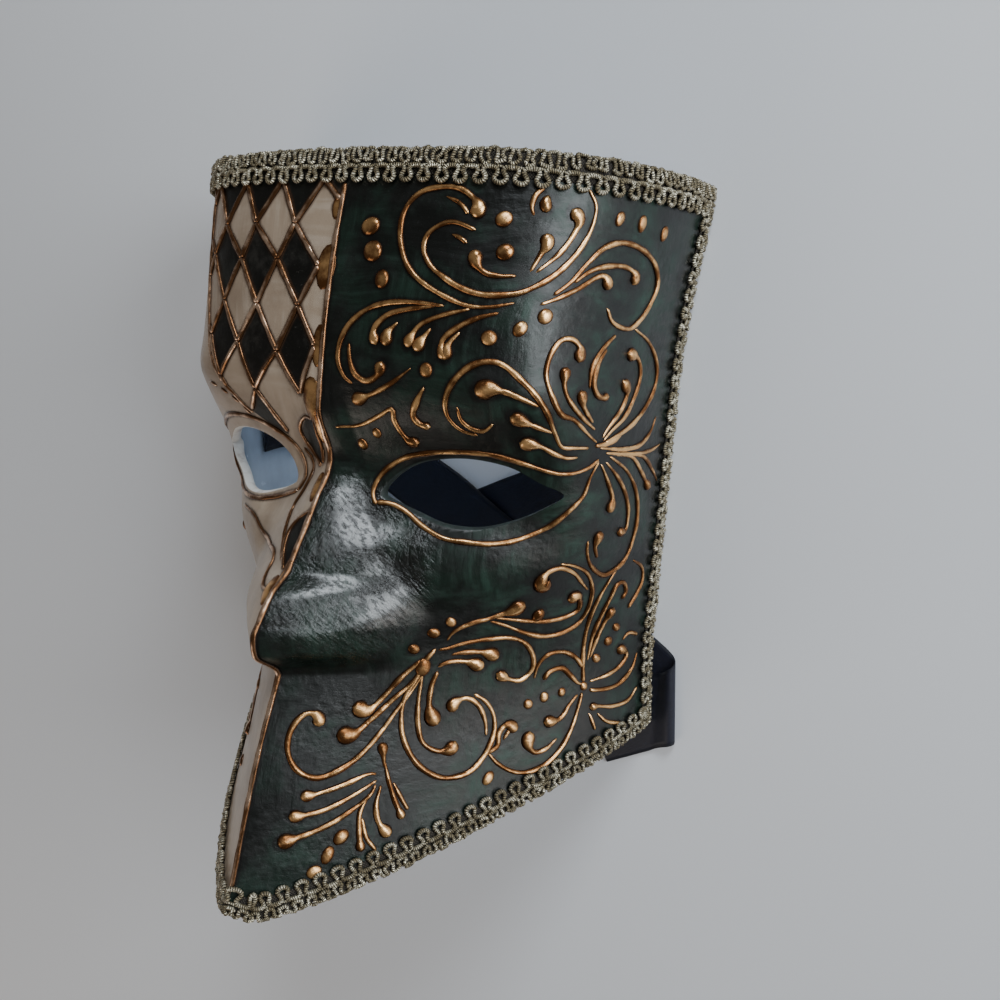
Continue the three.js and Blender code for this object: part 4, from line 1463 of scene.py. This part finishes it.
    def gap(self, points: Array) -> Array:
        """Distance from each point to the foot of the nearest bead, FAR at most."""
        centres = np.concatenate([c[::2] for c in self.centres])
        radii = np.concatenate([r[::2] for r in self.radii])
        size = (centres**2).sum(1)
        best = []
        for start in range(0, len(points), self.block):
            some = points[start:start + self.block]
            square = (some**2).sum(1)[:, None] - 2 * some @ centres.T + size
            best.append((np.sqrt(np.maximum(square, 0)) - radii).min(1))
        return np.minimum(np.concatenate(best), FAR)


# The shell

class Skin(Enum):
    """The shell's finishes in slot order."""

    DARK = 0
    IVORY = 1
    LINING = 2
    IVORY_EDGE = 3
    DARK_EDGE = 4


@dataclass
class PaintedShell:
    """The moulded paper shell: outside, lining and rims as one closed skin.

    Its columns gather in the middle. Its rows lie closer about the share nose_at of the height, over
    about nose_spread, and 1 + nose_more times closer at most. fine is the number of samples for that.
    The net's black is looked for above the height net_from and up to x = net_side, and the slips' in a
    box round slip_middle. An eye's outline has eye_span points to each stop, and no point farther from
    it than eye_margin is measured. Edges sharper than sharp degrees stay sharp.
    """

    form: FaceForm
    net: DiamondNet
    columns: int = 216
    rows: int = 210
    gather: float = 0.12
    nose_at: float = 0.36
    nose_spread: float = 0.1
    nose_more: float = 1.1
    fine: int = 2001
    eye: tuple[Pair, ...] = (
        (15.4, 11.2), (18, 16), (25, 21), (34, 23.5), (43, 23.8), (52, 21.6), (58, 17.6), (63.2, 14),
        (58.5, 9.8), (51, 5.6), (43.5, 3.4), (34, 3.8), (25.6, 6.2), (19.4, 8.6))
    eye_span: int = 10
    eye_margin: float = 3.0
    edge_bulge: float = 0.55
    edge_rings: int = 4
    net_from: float = 18.0
    net_side: float = 1.0
    slip_middle: Pair = (-7, 11)
    slip_reach: Pair = (8, 23)
    sharp: float = 60.0

    def grid(self) -> tuple[Array, Array]:
        """u and y of the skin's points: columns closer in the middle, rows closer at the nose."""
        t = np.linspace(-1, 1, self.columns + 1)
        u = np.sin(math.pi / 2 * (t - self.gather * np.sin(math.pi * t)))
        q = np.linspace(0, 1, self.fine)
        run = np.cumsum(1 + self.nose_more * np.exp(-((q - self.nose_at) / self.nose_spread)**2))
        rows = np.interp(np.linspace(run[0], run[-1], self.rows + 1), run, q)
        across, share = np.meshgrid(u, rows)
        low = self.form.bottom(across)
        return across, low + (self.form.top(across) - low) * share

    def eye_outlines(self) -> list[Array]:
        """The two holes as smooth closed outlines in x and y."""
        right = spline(np.array(self.eye), self.eye_span, closed=True)
        return [right, right * (-1, 1)]

    def fitted(self, u: Array, y: Array) -> tuple[Array, Array, Array]:
        """Moves the points next to a hole's outline onto it.

        Of the two ends of each grid edge that the outline crosses, the nearer one moves.

        Returns:
            u, y, and the side of each point: -1 in a hole, 0 on its outline, 1 on the skin.
        """
        plan = np.stack([self.form.half_width(y) * u, y], axis=-1)
        gap = np.full(u.shape, FAR)
        near = plan.copy()
        for outline in self.eye_outlines():
            low, high = outline.min(0) - self.eye_margin, outline.max(0) + self.eye_margin
            box = ((plan > low) & (plan < high)).all(-1)
            gap[box], near[box] = outline_distance(plan[box], outline)
        move = np.zeros(u.shape, dtype=bool)
        for a, b in ((np.s_[:-1], np.s_[1:]), (np.s_[:, :-1], np.s_[:, 1:])):
            cut = gap[a] * gap[b] < 0
            first = np.abs(gap[a]) <= np.abs(gap[b])
            move[a] |= cut & first
            move[b] |= cut & ~first
        x, y = np.moveaxis(np.where(move[..., None], near, plan), -1, 0)
        side = np.where(move, 0, np.sign(gap)).astype(int)
        return x / self.form.half_width(y), y, side

    def skin_faces(self, side: Array) -> list[Array]:
        """Quads outside the holes, and the outer half of each quad that a hole's outline cuts."""
        quads = band_faces(self.rows + 1, self.columns + 1, False, False)
        at = side.ravel()[quads]
        whole = quads[(at.min(1) >= 0) & (at.max(1) > 0)]
        cut = (at.min(1) < 0) & (at.max(1) > 0)
        corner = at[cut].argmax(1)
        rows = np.arange(cut.sum())
        part = [quads[cut][rows, (corner + k) % 4] for k in (0, 1, 3)]
        return [whole, np.stack(part, axis=1)]

    def edge_wall(self, rim: Array, outer: Array, inner: Array, at_eye: Array) -> tuple[Array, Array]:
        """The wall between the rims of the outside and the lining, bulging a little into the eyes.

        Args:
            rim: (n, 2) edges of the rims, as numbers of points on the outside.
            outer: Points on the outside.
            inner: Points on the lining.
            at_eye: Whether each point on the outside lies on a hole's outline.

        Returns:
            The points between the two rims, and quads, where those points are numbered on after inner.
        """
        n = len(outer)
        at = np.unique(rim)
        centre = np.array([np.mean(self.eye, axis=0)]) * np.sign(outer[at, :1]) ** np.array([[1, 0]])
        inward = unit(centre - outer[at, :2])
        rings = []
        for k in range(1, self.edge_rings):
            t = k / self.edge_rings
            ring = outer[at] * (1 - t) + inner[at] * t
            ring[:, :2] += inward * (self.edge_bulge * math.sin(math.pi * t) * at_eye[at])[:, None]
            rings.append(ring)
        place = np.zeros(n, dtype=int)
        place[at] = np.arange(len(at))
        layers = [rim, *(2 * n + k * len(at) + place[rim] for k in range(self.edge_rings - 1)), rim + n]
        quads = [np.stack([a[:, 1], a[:, 0], b[:, 0], b[:, 1]], axis=1)
                 for a, b in zip(layers[:-1], layers[1:])]
        return np.concatenate(rings), np.concatenate(quads)

    def black_distance(self, u: Array, y: Array, outer: Array) -> Array:
        """Distance from each point of the outside to the nearest black paint, negative on it."""
        gap = np.full(len(outer), FAR)
        pale = np.flatnonzero((outer[:, 0] < self.net_side) & (outer[:, 1] > self.net_from))
        girth = self.form.girth(u.ravel()[pale], y.ravel()[pale])
        gap[pale] = self.net.distance(-girth, outer[pale, 1])
        bridge = np.flatnonzero((np.abs(outer[:, :2] - self.slip_middle) < self.slip_reach).all(1))
        gap[bridge] = np.minimum(gap[bridge], self.net.slip_distance(outer[bridge, :2]))
        return gap

    def build(self, groups: Groups, stucco: StuccoWork) -> Item:
        """Makes the shell and marks where its paint changes."""
        u, y, side = self.fitted(*self.grid())
        faces = self.skin_faces(side)
        outer = self.form.surface(u, y).reshape(-1, 3)
        inner = self.form.inside(u, y).reshape(-1, 3)
        n = len(outer)
        edges = np.concatenate([np.stack([f, np.roll(f, -1, axis=1)], axis=-1).reshape(-1, 2) for f in faces])
        key = np.sort(edges, axis=1) @ np.array([n, 1])
        _, where, count = np.unique(key, return_index=True, return_counts=True)
        rings, walls = self.edge_wall(edges[where[count == 1]], outer, inner, side.ravel() == 0)
        points = np.concatenate([outer, inner, rings])

        parts, finishes = [], []
        for f in faces:
            left = points[f].mean(1)[:, 0] < 0
            parts += [f[left], f[~left], f[:, ::-1] + n]
            finishes += [Skin.IVORY.value, Skin.DARK.value, Skin.LINING.value]
        left = points[walls].mean(1)[:, 0] < 0
        parts += [walls[left], walls[~left]]
        finishes += [Skin.IVORY_EDGE.value, Skin.DARK_EDGE.value]

        used = np.unique(np.concatenate([f.ravel() for f in parts]))
        number = np.zeros(len(points), dtype=int)
        number[used] = np.arange(len(used))
        rest = np.full(len(points) - n, FAR)
        marks = {"black_cell": self.black_distance(u, y, outer), "line_gap": stucco.gap(outer)}
        marks = {name: np.concatenate([values, rest])[used] for name, values in marks.items()}
        dark_edge = CutEdge(rgb(0.006, 0.012, 0.01), rgb(0.018, 0.032, 0.027), 0.72)
        paints = ((DarkLacquer(), "green_black_lacquer"), (IvoryPaint(), "ivory_paint"),
                  (Lining(), "lining_with_painted_light"), (CutEdge(), "ivory_cut_edge"), (dark_edge, "dark_cut_edge"))
        patch = Patch(points[used], [number[f] for f in parts], finishes, marks)
        return patch.build("painted_shell", [p.material(name, groups) for p, name in paints], self.sharp)


# The braid

@dataclass(frozen=True)
class Cord:
    """One cord of the braid.

    middle and half are its place across and the half height of its waves; swing is the most its heading
    turns, or 0 for rings; share is its thickness over the braid's cord; tangle is how far it strays.
    """

    middle: float
    half: float
    pitch: float
    phase: float
    swing: float
    lift: float
    share: float
    tangle: float
    per_wave: int


class CordRow(Enum):
    """The braid's cords, from its inner border over the edge to the back."""

    RINGS = Cord(4.7, 2.0, 5.3, 0.0, 0.0, 0.15, 1.0, 0.06, 20)
    BARS = Cord(2.6, 0.15, 2.6, 0.2, 0.6, 0.15, 0.6, 0.05, 5)
    KNOTS = Cord(0.75, 0.95, 3.9, 0.4, 1.9, 0.1, 0.85, 0.24, 12)
    EDGE_KNOTS = Cord(-1.35, 0.85, 3.6, 0.0, 1.9, 0.0, 0.8, 0.24, 12)
    BACK_LINE = Cord(-3.4, 0.4, 3.0, 0.6, 0.95, 0.0, 0.8, 0.1, 4)
    BACK_LOOPS = Cord(-6.2, 1.5, 6.0, 0.25, 1.7, 0.0, 0.85, 0.05, 12)


# A ring of the inner border: steps along over the pitch, and height over the half height
RING = ((-0.5, -1.0), (-0.26, -0.95), (-0.13, -0.55), (-0.2, -0.05), (-0.29, 0.4), (-0.2, 0.84), (0.0, 1.0),
        (0.2, 0.84), (0.29, 0.4), (0.2, -0.05), (0.13, -0.55), (0.26, -0.95), (0.5, -1.0))


@dataclass
class EdgeBraid:
    """A scroll gimp of wound cords on a dark tape, folded over the rim.

    The tape lies across from front to -back, and has every stride-th station. The pads fill the braid
    out over the edge: they grow between the places pad_grows and fade between pad_fades. The braid
    turns within bend of the edge, and round the inner edge from inner_turn[0] before it to
    inner_turn[1] after it. A cord's middle stands seat of its radius over the tape, and its underside
    floor_gap or more over the floor. Where x is over pressed_from, a ribbon presses it up, by pressed
    from the second height of pressed_at on. The braid is laid on samples of the skin within the share
    near_rim of the height from a rim, or beyond u = near_side.
    """

    form: FaceForm
    cord_radius: float = 0.7
    tape: float = 0.3
    wall: float = 3.3
    top_pad: float = 1.3
    chin_pad: float = 0.3
    front: float = 5.1
    back: float = 8.6
    step: float = 1.0
    sides: int = 5
    pressed: float = 0.75
    pressed_at: Pair = (-36.0, -42.0)
    pressed_from: float = 60.0
    floor_gap: float = 0.02
    seat: float = 0.82
    stray_spread: float = 2.45
    stride: int = 3
    under: float = 0.03
    bend: float = 0.6
    inner_turn: Pair = (0.4, 0.8)
    pad_grows: Pair = (-1.8, 0.3)
    pad_fades: Pair = (5.4, 3.4)
    rim_samples: int = 500
    side_samples: int = 200
    snug_columns: int = 261
    snug_rows: tuple[tuple[float, float, int], ...] = ((0, 0.09, 20), (0.1, 0.9, 90), (0.91, 1, 20))
    near_rim: float = 0.12
    near_side: float = 0.95
    block: int = 2000
    wave_samples: int = 241
    ring_span: int = 20
    rng: np.random.Generator = field(default_factory=lambda: np.random.default_rng(SEED + 1))
    across: Row = (8, 7, 6, 5, 4, 3, 2, 1, 0.4, 0, -0.4, -1.6, -2.9, -3.3, -3.7, -5, -6.5, -8.2)

    def rim(self) -> tuple[Array, Array, Array]:
        """Even stations round the rim: point, outward along the skin, and away from the skin."""
        form = self.form
        u = np.sin(np.linspace(-math.pi / 2, math.pi / 2, self.rim_samples))
        top_y, bottom_y = (float(edge(np.array(1.0))) for edge in (form.top, form.bottom))
        side_y = np.linspace(top_y, bottom_y, self.side_samples)[1:-1]
        side_u = np.ones(len(side_y))
        us = np.concatenate([u, side_u, u[::-1], -side_u])
        ys = np.concatenate([form.top(u), side_y, form.bottom(u[::-1]), side_y[::-1]])
        line = np.concatenate([form.surface(us, ys), form.normal(us, ys)], axis=1)
        line = np.concatenate([line, line[:1]])
        run = lengths(line[:, :3])
        pair = 2 * self.stride
        count = int(run[-1] / self.step / pair) * pair
        even = resampled(line, np.linspace(0, run[-1], count, endpoint=False))
        point = rolled_mean(even[:, :3], 2, 3)
        away = rolled_mean(even[:, 3:], 1, 6)
        ahead = unit(rolled_mean(np.roll(point, -1, axis=0) - np.roll(point, 1, axis=0), 1, 4))
        outward = unit(np.cross(away, ahead))
        return point, outward, unit(np.cross(ahead, outward))

    def snug(self, points: Array) -> Array:
        """Moves points onto the outside: along the normal of the nearest of its samples near the rim."""
        u = np.sin(np.linspace(-math.pi / 2, math.pi / 2, self.snug_columns))
        across, q = np.meshgrid(u, np.concatenate([np.linspace(*run) for run in self.snug_rows]))
        y = self.form.bottom(across) + (self.form.top(across) - self.form.bottom(across)) * q
        near = (q < self.near_rim) | (q > 1 - self.near_rim) | (np.abs(across) > self.near_side)
        samples = self.form.surface(across, y)[near]
        normals = self.form.normal(across, y)[near]
        size = (samples**2).sum(1)
        moved = []
        for start in range(0, len(points), self.block):
            some = points[start:start + self.block]
            best = (size - 2 * some @ samples.T).argmin(1)
            off = ((some - samples[best]) * normals[best]).sum(1, keepdims=True)
            moved.append(some - off * normals[best])
        return np.concatenate(moved)

    def section(self) -> tuple[Array, Array]:
        """Points and directions away from the skin, for each station and each place across the braid.

        Across is the distance in from the outer edge on the front; below 0 it goes over the edge, and
        past the wall's thickness it comes back along the inside. The pad fills it out over the edge.
        """
        point, outward, away = self.rim()
        rows, dirs = [], []
        up = outward[:, 1:2]
        pad = self.top_pad * np.maximum(up, 0) + self.chin_pad * np.maximum(-up, 0)
        for w in self.across:
            if w > -self.wall:
                turn = smoothstep(self.bend, -self.bend, w)
                row = self.snug(point - outward * w) if w >= 0 else point + away * w
                dirs.append(unit(away * (1 - turn) + outward * turn))
            else:
                turn = smoothstep(self.wall - self.inner_turn[0], self.wall + self.inner_turn[1], -w)
                row = point - away * self.wall + outward * (w + self.wall)
                dirs.append(unit(outward * (1 - turn) - away * turn))
            over = smoothstep(*self.pad_grows, -w) * smoothstep(*self.pad_fades, -w)
            rows.append(row + outward * pad * over)
        return np.stack(rows, axis=1), np.stack(dirs, axis=1)

    def lookup(self, grid: Array, along: Array, across: Array) -> Array:
        """Straight-line lookup in a (station, across, 3) grid, round and round along the rim."""
        n = len(grid)
        i = np.floor(along).astype(int)
        fi = (along - i)[:, None]
        place = np.interp(-across, [-w for w in self.across], np.arange(len(self.across)))
        j = np.clip(np.floor(place).astype(int), 0, len(self.across) - 2)
        fj = (place - j)[:, None]
        a, b = i % n, (i + 1) % n
        near = grid[a, j] * (1 - fj) + grid[a, j + 1] * fj
        far = grid[b, j] * (1 - fj) + grid[b, j + 1] * fj
        return near * (1 - fi) + far * fi

    def wave(self, cord: Cord) -> tuple[Array, Array]:
        """Steps along over the pitch and height over the half height of one wave.

        A wave's heading swings as swing · sin along its length; a ring is a curve through its stops.
        """
        fine = np.linspace(0, 1, self.wave_samples)
        if cord.swing:
            heading = cord.swing * np.sin(FULL_TURN * fine)
            x, z = (np.concatenate([[0], np.cumsum((part[:-1] + part[1:]) / 2)])
                    for part in (np.cos(heading), np.sin(heading)))
            x, z = x / x[-1], (z - z.mean()) / (np.ptp(z) / 2)
        else:
            ring = spline(np.array(RING) * (cord.pitch, cord.half), self.ring_span)
            ring = resampled(np.column_stack([ring, 0 * ring[:, 0]]), fine * lengths(ring)[-1])
            x, z = ring[:, 0] / cord.pitch, ring[:, 1] / cord.half
        t = np.linspace(0, 1, cord.per_wave, endpoint=False)
        return np.interp(t, fine, x), np.interp(t, fine, z)

    def stray(self, count: int, most: float) -> Array:
        """Soft random offsets round a closed cord, over the spread that their sum has."""
        raw = self.rng.normal(0, 1, count)
        return most * (np.roll(raw, 1) + 2 * raw + np.roll(raw, -1)) / self.stray_spread

    def cord(self, cord: Cord, points: Array, dirs: Array, spacing: float) -> Patch:
        """One cord, laid in waves or rings round the rim, no lower than the ribbon under a rear corner."""
        x, z = self.wave(cord)
        loops = int(round(len(points) * spacing / cord.pitch))
        count = loops * cord.per_wave
        along = (np.arange(loops)[:, None] + x + cord.phase).ravel() * len(points) / loops
        along = along + self.stray(count, cord.tangle) / spacing
        across = cord.middle + cord.half * np.tile(z, loops) + self.stray(count, cord.tangle)
        place = self.lookup(points, along, across)
        away = unit(self.lookup(dirs, along, across))
        radius = np.full(count, self.cord_radius * cord.share)
        lift = self.tape + self.seat * radius + cord.lift + np.abs(self.stray(count, cord.tangle))
        path = place + away * lift[:, None]
        ribbon = self.pressed * smoothstep(*self.pressed_at, path[:, 1]) * (path[:, 0] > self.pressed_from)
        path[:, 2] = np.maximum(path[:, 2], radius + self.floor_gap + ribbon)
        return bead(path, away, radius, radius, self.sides, True, math.inf)

    def tape_strip(self, points: Array, dirs: Array) -> Patch:
        """The tape: an outer and an under layer joined along both borders."""
        across = np.array(self.across)
        keep = (across <= self.front) & (across >= -self.back)
        base, lift = points[::self.stride, keep], dirs[::self.stride, keep]
        loop = np.concatenate([base + lift * self.tape, (base + lift * self.under)[:, ::-1]], axis=1)
        n, m = loop.shape[:2]
        on = self.stride * self.step
        r = np.repeat(np.arange(n), m) * on
        c = np.tile(np.arange(m), n)
        corners = [(r, c), (r, c + 1), (r + on, c + 1), (r + on, c)]
        uv = np.stack([np.stack(corner, axis=-1) for corner in corners], axis=1)
        faces = band_faces(n, m, True, True)
        return Patch(loop.reshape(-1, 3), [faces], [1], {"crest": np.zeros(n * m)}, [uv])

    def build(self, groups: Groups) -> Item:
        """Makes the braid."""
        points, dirs = self.section()
        spacing = float(np.linalg.norm(np.diff(points[:, self.across.index(0)], axis=0), axis=1).mean())
        parts = [self.cord(row.value, points, dirs, spacing) for row in CordRow]
        parts.append(self.tape_strip(points, dirs))
        wound = WoundCord().material("wound_cord", groups)
        tape = BraidTape().material("braid_tape", groups)
        return Patch.joined(parts).build("scroll_gimp", [wound, tape])


# The ribbons

@dataclass
class Ribbon:
    """A satin ribbon: its way as (x, y, z, width direction) stops, lying where the model's ribbon lies.

    Its ripple grows over the first ripple_in, dies out over the last ripple_out before the length calm,
    and is ripple_lean higher on one side and lower on the other.
    """

    name: str
    stops: tuple[Row, ...]
    width: float = 24.0
    thickness: float = 0.35
    ripple: float = 0.35
    ripple_length: float = 31.0
    ripple_lean: float = 0.4
    ripple_in: float = 30.0
    ripple_out: float = 40.0
    calm: float = 260.0
    clearance: float = 0.05
    per_span: int = 26
    spacing: float = 1.3
    columns: int = 13

    def build(self, groups: Groups) -> tuple[Item, float]:
        """Makes the ribbon and gives back its length too.

        Across t from -1 to 1 the surface is way + t · half · side + ripple. A side that slants to the
        way is longer, half = width / 2 / sin of the angle between them, so the ribbon keeps its width.
        """
        way = spline(np.array(self.stops), self.per_span)
        total = lengths(way[:, :3])[-1]
        way = resampled(way, np.linspace(0, total, int(total / self.spacing) + 1))
        ahead = unit(np.gradient(way[:, :3], axis=0))
        side = unit(way[:, 3:6])
        slant = (side * ahead).sum(1)
        half = self.width / 2 / np.sqrt(1 - slant**2)
        face = unit(np.cross(side, ahead))
        t = np.linspace(-1, 1, self.columns)
        along = lengths(way[:, :3])
        lift = self.ripple * (1 - np.cos(FULL_TURN * along / self.ripple_length))
        lift = lift[:, None] * (1 + self.ripple_lean * t)
        calm = 1 - smoothstep(self.calm - self.ripple_out, self.calm, along)
        lift = lift * (smoothstep(0, self.ripple_in, along) * calm)[:, None]
        points = (way[:, None, :3] + side[:, None] * (t * half[:, None])[..., None]
                  + face[:, None] * np.sign(face[:, None, 2:3] + SMALL) * lift[..., None])
        points[..., 2] = np.maximum(points[..., 2], self.thickness / 2 + self.clearance)
        faces = band_faces(len(way), len(t), False, False)
        run = along[:, None] + t * (half * slant)[:, None]
        over = np.broadcast_to((t + 1) * self.width / 2, run.shape)
        cloth = np.stack([run, over], axis=-1).reshape(-1, 2)
        satin = Satin(width=self.width).material(self.name + "_satin", groups)
        item = Patch(points.reshape(-1, 3), [faces], [0], {}, [cloth[faces]]).build(self.name, [satin])
        wall = item.modifiers.new("cloth", "SOLIDIFY")
        wall.thickness = self.thickness * MM
        wall.offset = 0.0
        return item, total * MM


LONG_RIBBON = Ribbon("satin_ribbon_long", (
    (-67.4, 20, 33, 0, 1, 0), (-69.9, 20, 21, 0, 1, 0), (-67.8, 19.5, 10.5, 0.1, 1, 0),
    (-58, 17, 2.6, 0.3, 1, 0), (-38, 8, 1.6, 0.5, 1, 0), (-9, -6.5, 1.6, 0.6, 0.85, 0),
    (22, -25.3, 1.5, 0.53, 0.85, 0), (46, -39, 0.6, 0.4, 0.9, 0), (64, -49.3, 0.3, 0.15, 1, 0),
    (75, -56.3, 0.3, -0.04, 1, 0), (83.4, -61.9, 0.3, -0.08, 1, 0), (84.6, -62.7, 0.77, -0.08, 1, 0),
    (85.1, -63.4, 1.9, -0.08, 1, 0), (84.6, -64.2, 3.03, -0.08, 1, 0), (83.4, -65, 3.5, -0.08, 1, 0),
    (81, -66.6, 2.4, -0.04, 1, 0), (78.4, -68.3, 1.05, 0, 1, 0), (75.2, -70.3, 0.8, 0, 1, 0),
    (66, -75.8, 0.8, -0.1, 1, 0), (56, -81.6, 0.8, -0.52, 0.855, 0)), calm=130)

SHORT_RIBBON = Ribbon("satin_ribbon_short", (
    (67.2, 16, 33, 0, -1, 0), (69.8, 16, 21, 0, -1, 0), (67.6, 15, 10.5, 0.1, -1, 0),
    (58, 11.5, 2.4, 0.35, -1, 0), (40, 2.8, 0.7, 0.45, -0.9, 0), (16, -8.6, 0.5, 0.45, -0.9, 0),
    (-12, -24, 0.5, 0.6, -0.8, 0), (-34, -47, 0.5, 0.85, -0.6, 0), (-48, -74, 0.5, 0.8, -0.6, 0),
    (-66, -89, 0.5, 0.3, -0.95, 0), (-78, -91.8, 0.5, 0, -1, 0), (-86.4, -92, 0.5, 0, -1, 0)))


# The studio

@dataclass(frozen=True)
class Softbox:
    """A square soft light: its direction from the mask, distance and size in metres, power and colour.

    It faces target, a point in the mask.
    """

    name: str
    direction: Triple
    distance: float
    size: float
    power: float
    colour: Triple
    target: Triple = (0.0, 0.0, 0.06)

    def build(self) -> None:
        """Makes the light."""
        data = bpy.data.lights.new(self.name, "AREA")
        data.size = self.size
        data.energy = self.power
        data.color = self.colour
        back = unit(np.array(self.direction, dtype=float))
        side = unit(np.cross([0.0, 0.0, 1.0], back))
        place = np.array(self.target) + back * self.distance
        set_up(self.name, data, place, [side, np.cross(back, side), back])


@dataclass(frozen=True)
class Studio:
    """A plain pale floor, and soft light that comes mostly from the upper right."""

    floor_size: float = 6.0
    floor_colour: tuple = rgb(0.76, 0.78, 0.82)
    floor_roughness: float = 0.7
    sky: tuple = rgb(0.62, 0.57, 0.52)
    sky_strength: float = 0.2
    lights: tuple[Softbox, ...] = (
        Softbox("window", (0.88, 0.30, 0.38), 1.2, 0.62, 10.6, (0.90, 0.96, 1.0)),
        Softbox("side_panel", (0.97, -0.2, 0.12), 1.4, 0.7, 4.0, (1.0, 0.96, 0.92)),
        Softbox("high_panel", (0.36, 0.82, 0.44), 1.1, 0.4, 7.0, (0.88, 0.95, 1.0)),
        Softbox("low_fill", (-0.5, -0.72, 0.48), 1.5, 1.0, 6.0, (1.0, 0.9, 0.8)),
    )

    def build(self) -> None:
        """Makes the floor, the lights and the sky."""
        half = self.floor_size / 2 / MM
        corners = half * np.array([[-1, -1, 0], [1, -1, 0], [1, 1, 0], [-1, 1, 0]])
        material = bpy.data.materials.new("floor")
        material.use_nodes = True
        shader = material.node_tree.nodes["Principled BSDF"]
        shader.inputs["Base Color"].default_value = self.floor_colour
        shader.inputs["Roughness"].default_value = self.floor_roughness
        Patch(corners, [np.array([[0, 1, 2, 3]])], [0]).build("floor", [material])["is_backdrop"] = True
        for light in self.lights:
            light.build()
        world = bpy.data.worlds.new("sky")
        world.use_nodes = True
        background = world.node_tree.nodes["Background"]
        background.inputs["Color"].default_value = self.sky
        background.inputs["Strength"].default_value = self.sky_strength
        bpy.context.scene.world = world


def plain(box: object) -> list[list[float]]:
    """A box as two lists of numbers."""
    return [[float(c) for c in corner] for corner in box]


def main() -> None:
    logging.basicConfig(level=logging.INFO, format="%(name)s: %(message)s")
    form, view, net, groups = FaceForm(), Viewpoint(), DiamondNet(), Groups()
    view.build()
    Studio().build()

    stucco = StuccoWork(form, view, net)
    raised = stucco.build(groups)
    shell = PaintedShell(form, net).build(groups, stucco)
    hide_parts("mask_shell")
    for item in (shell, *raised):
        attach(item, BODY)
        LOG.info("%s: %d faces", item.name, len(item.data.polygons))

    braid = EdgeBraid(form).build(groups)
    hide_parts("edge_braid")
    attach(braid, BODY)
    LOG.info("%s: %d faces", braid.name, len(braid.data.polygons))

    for ribbon, node in ((LONG_RIBBON, "ribbon_long"), (SHORT_RIBBON, "ribbon_short")):
        item, length = ribbon.build(groups)
        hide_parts(node)
        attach(item, BODY)
        LOG.info("%s: %.3f m long", item.name, length)

    {"cad": plain(CAD_BOX), "visual": plain(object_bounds())}


if __name__ == "__main__":
    main()
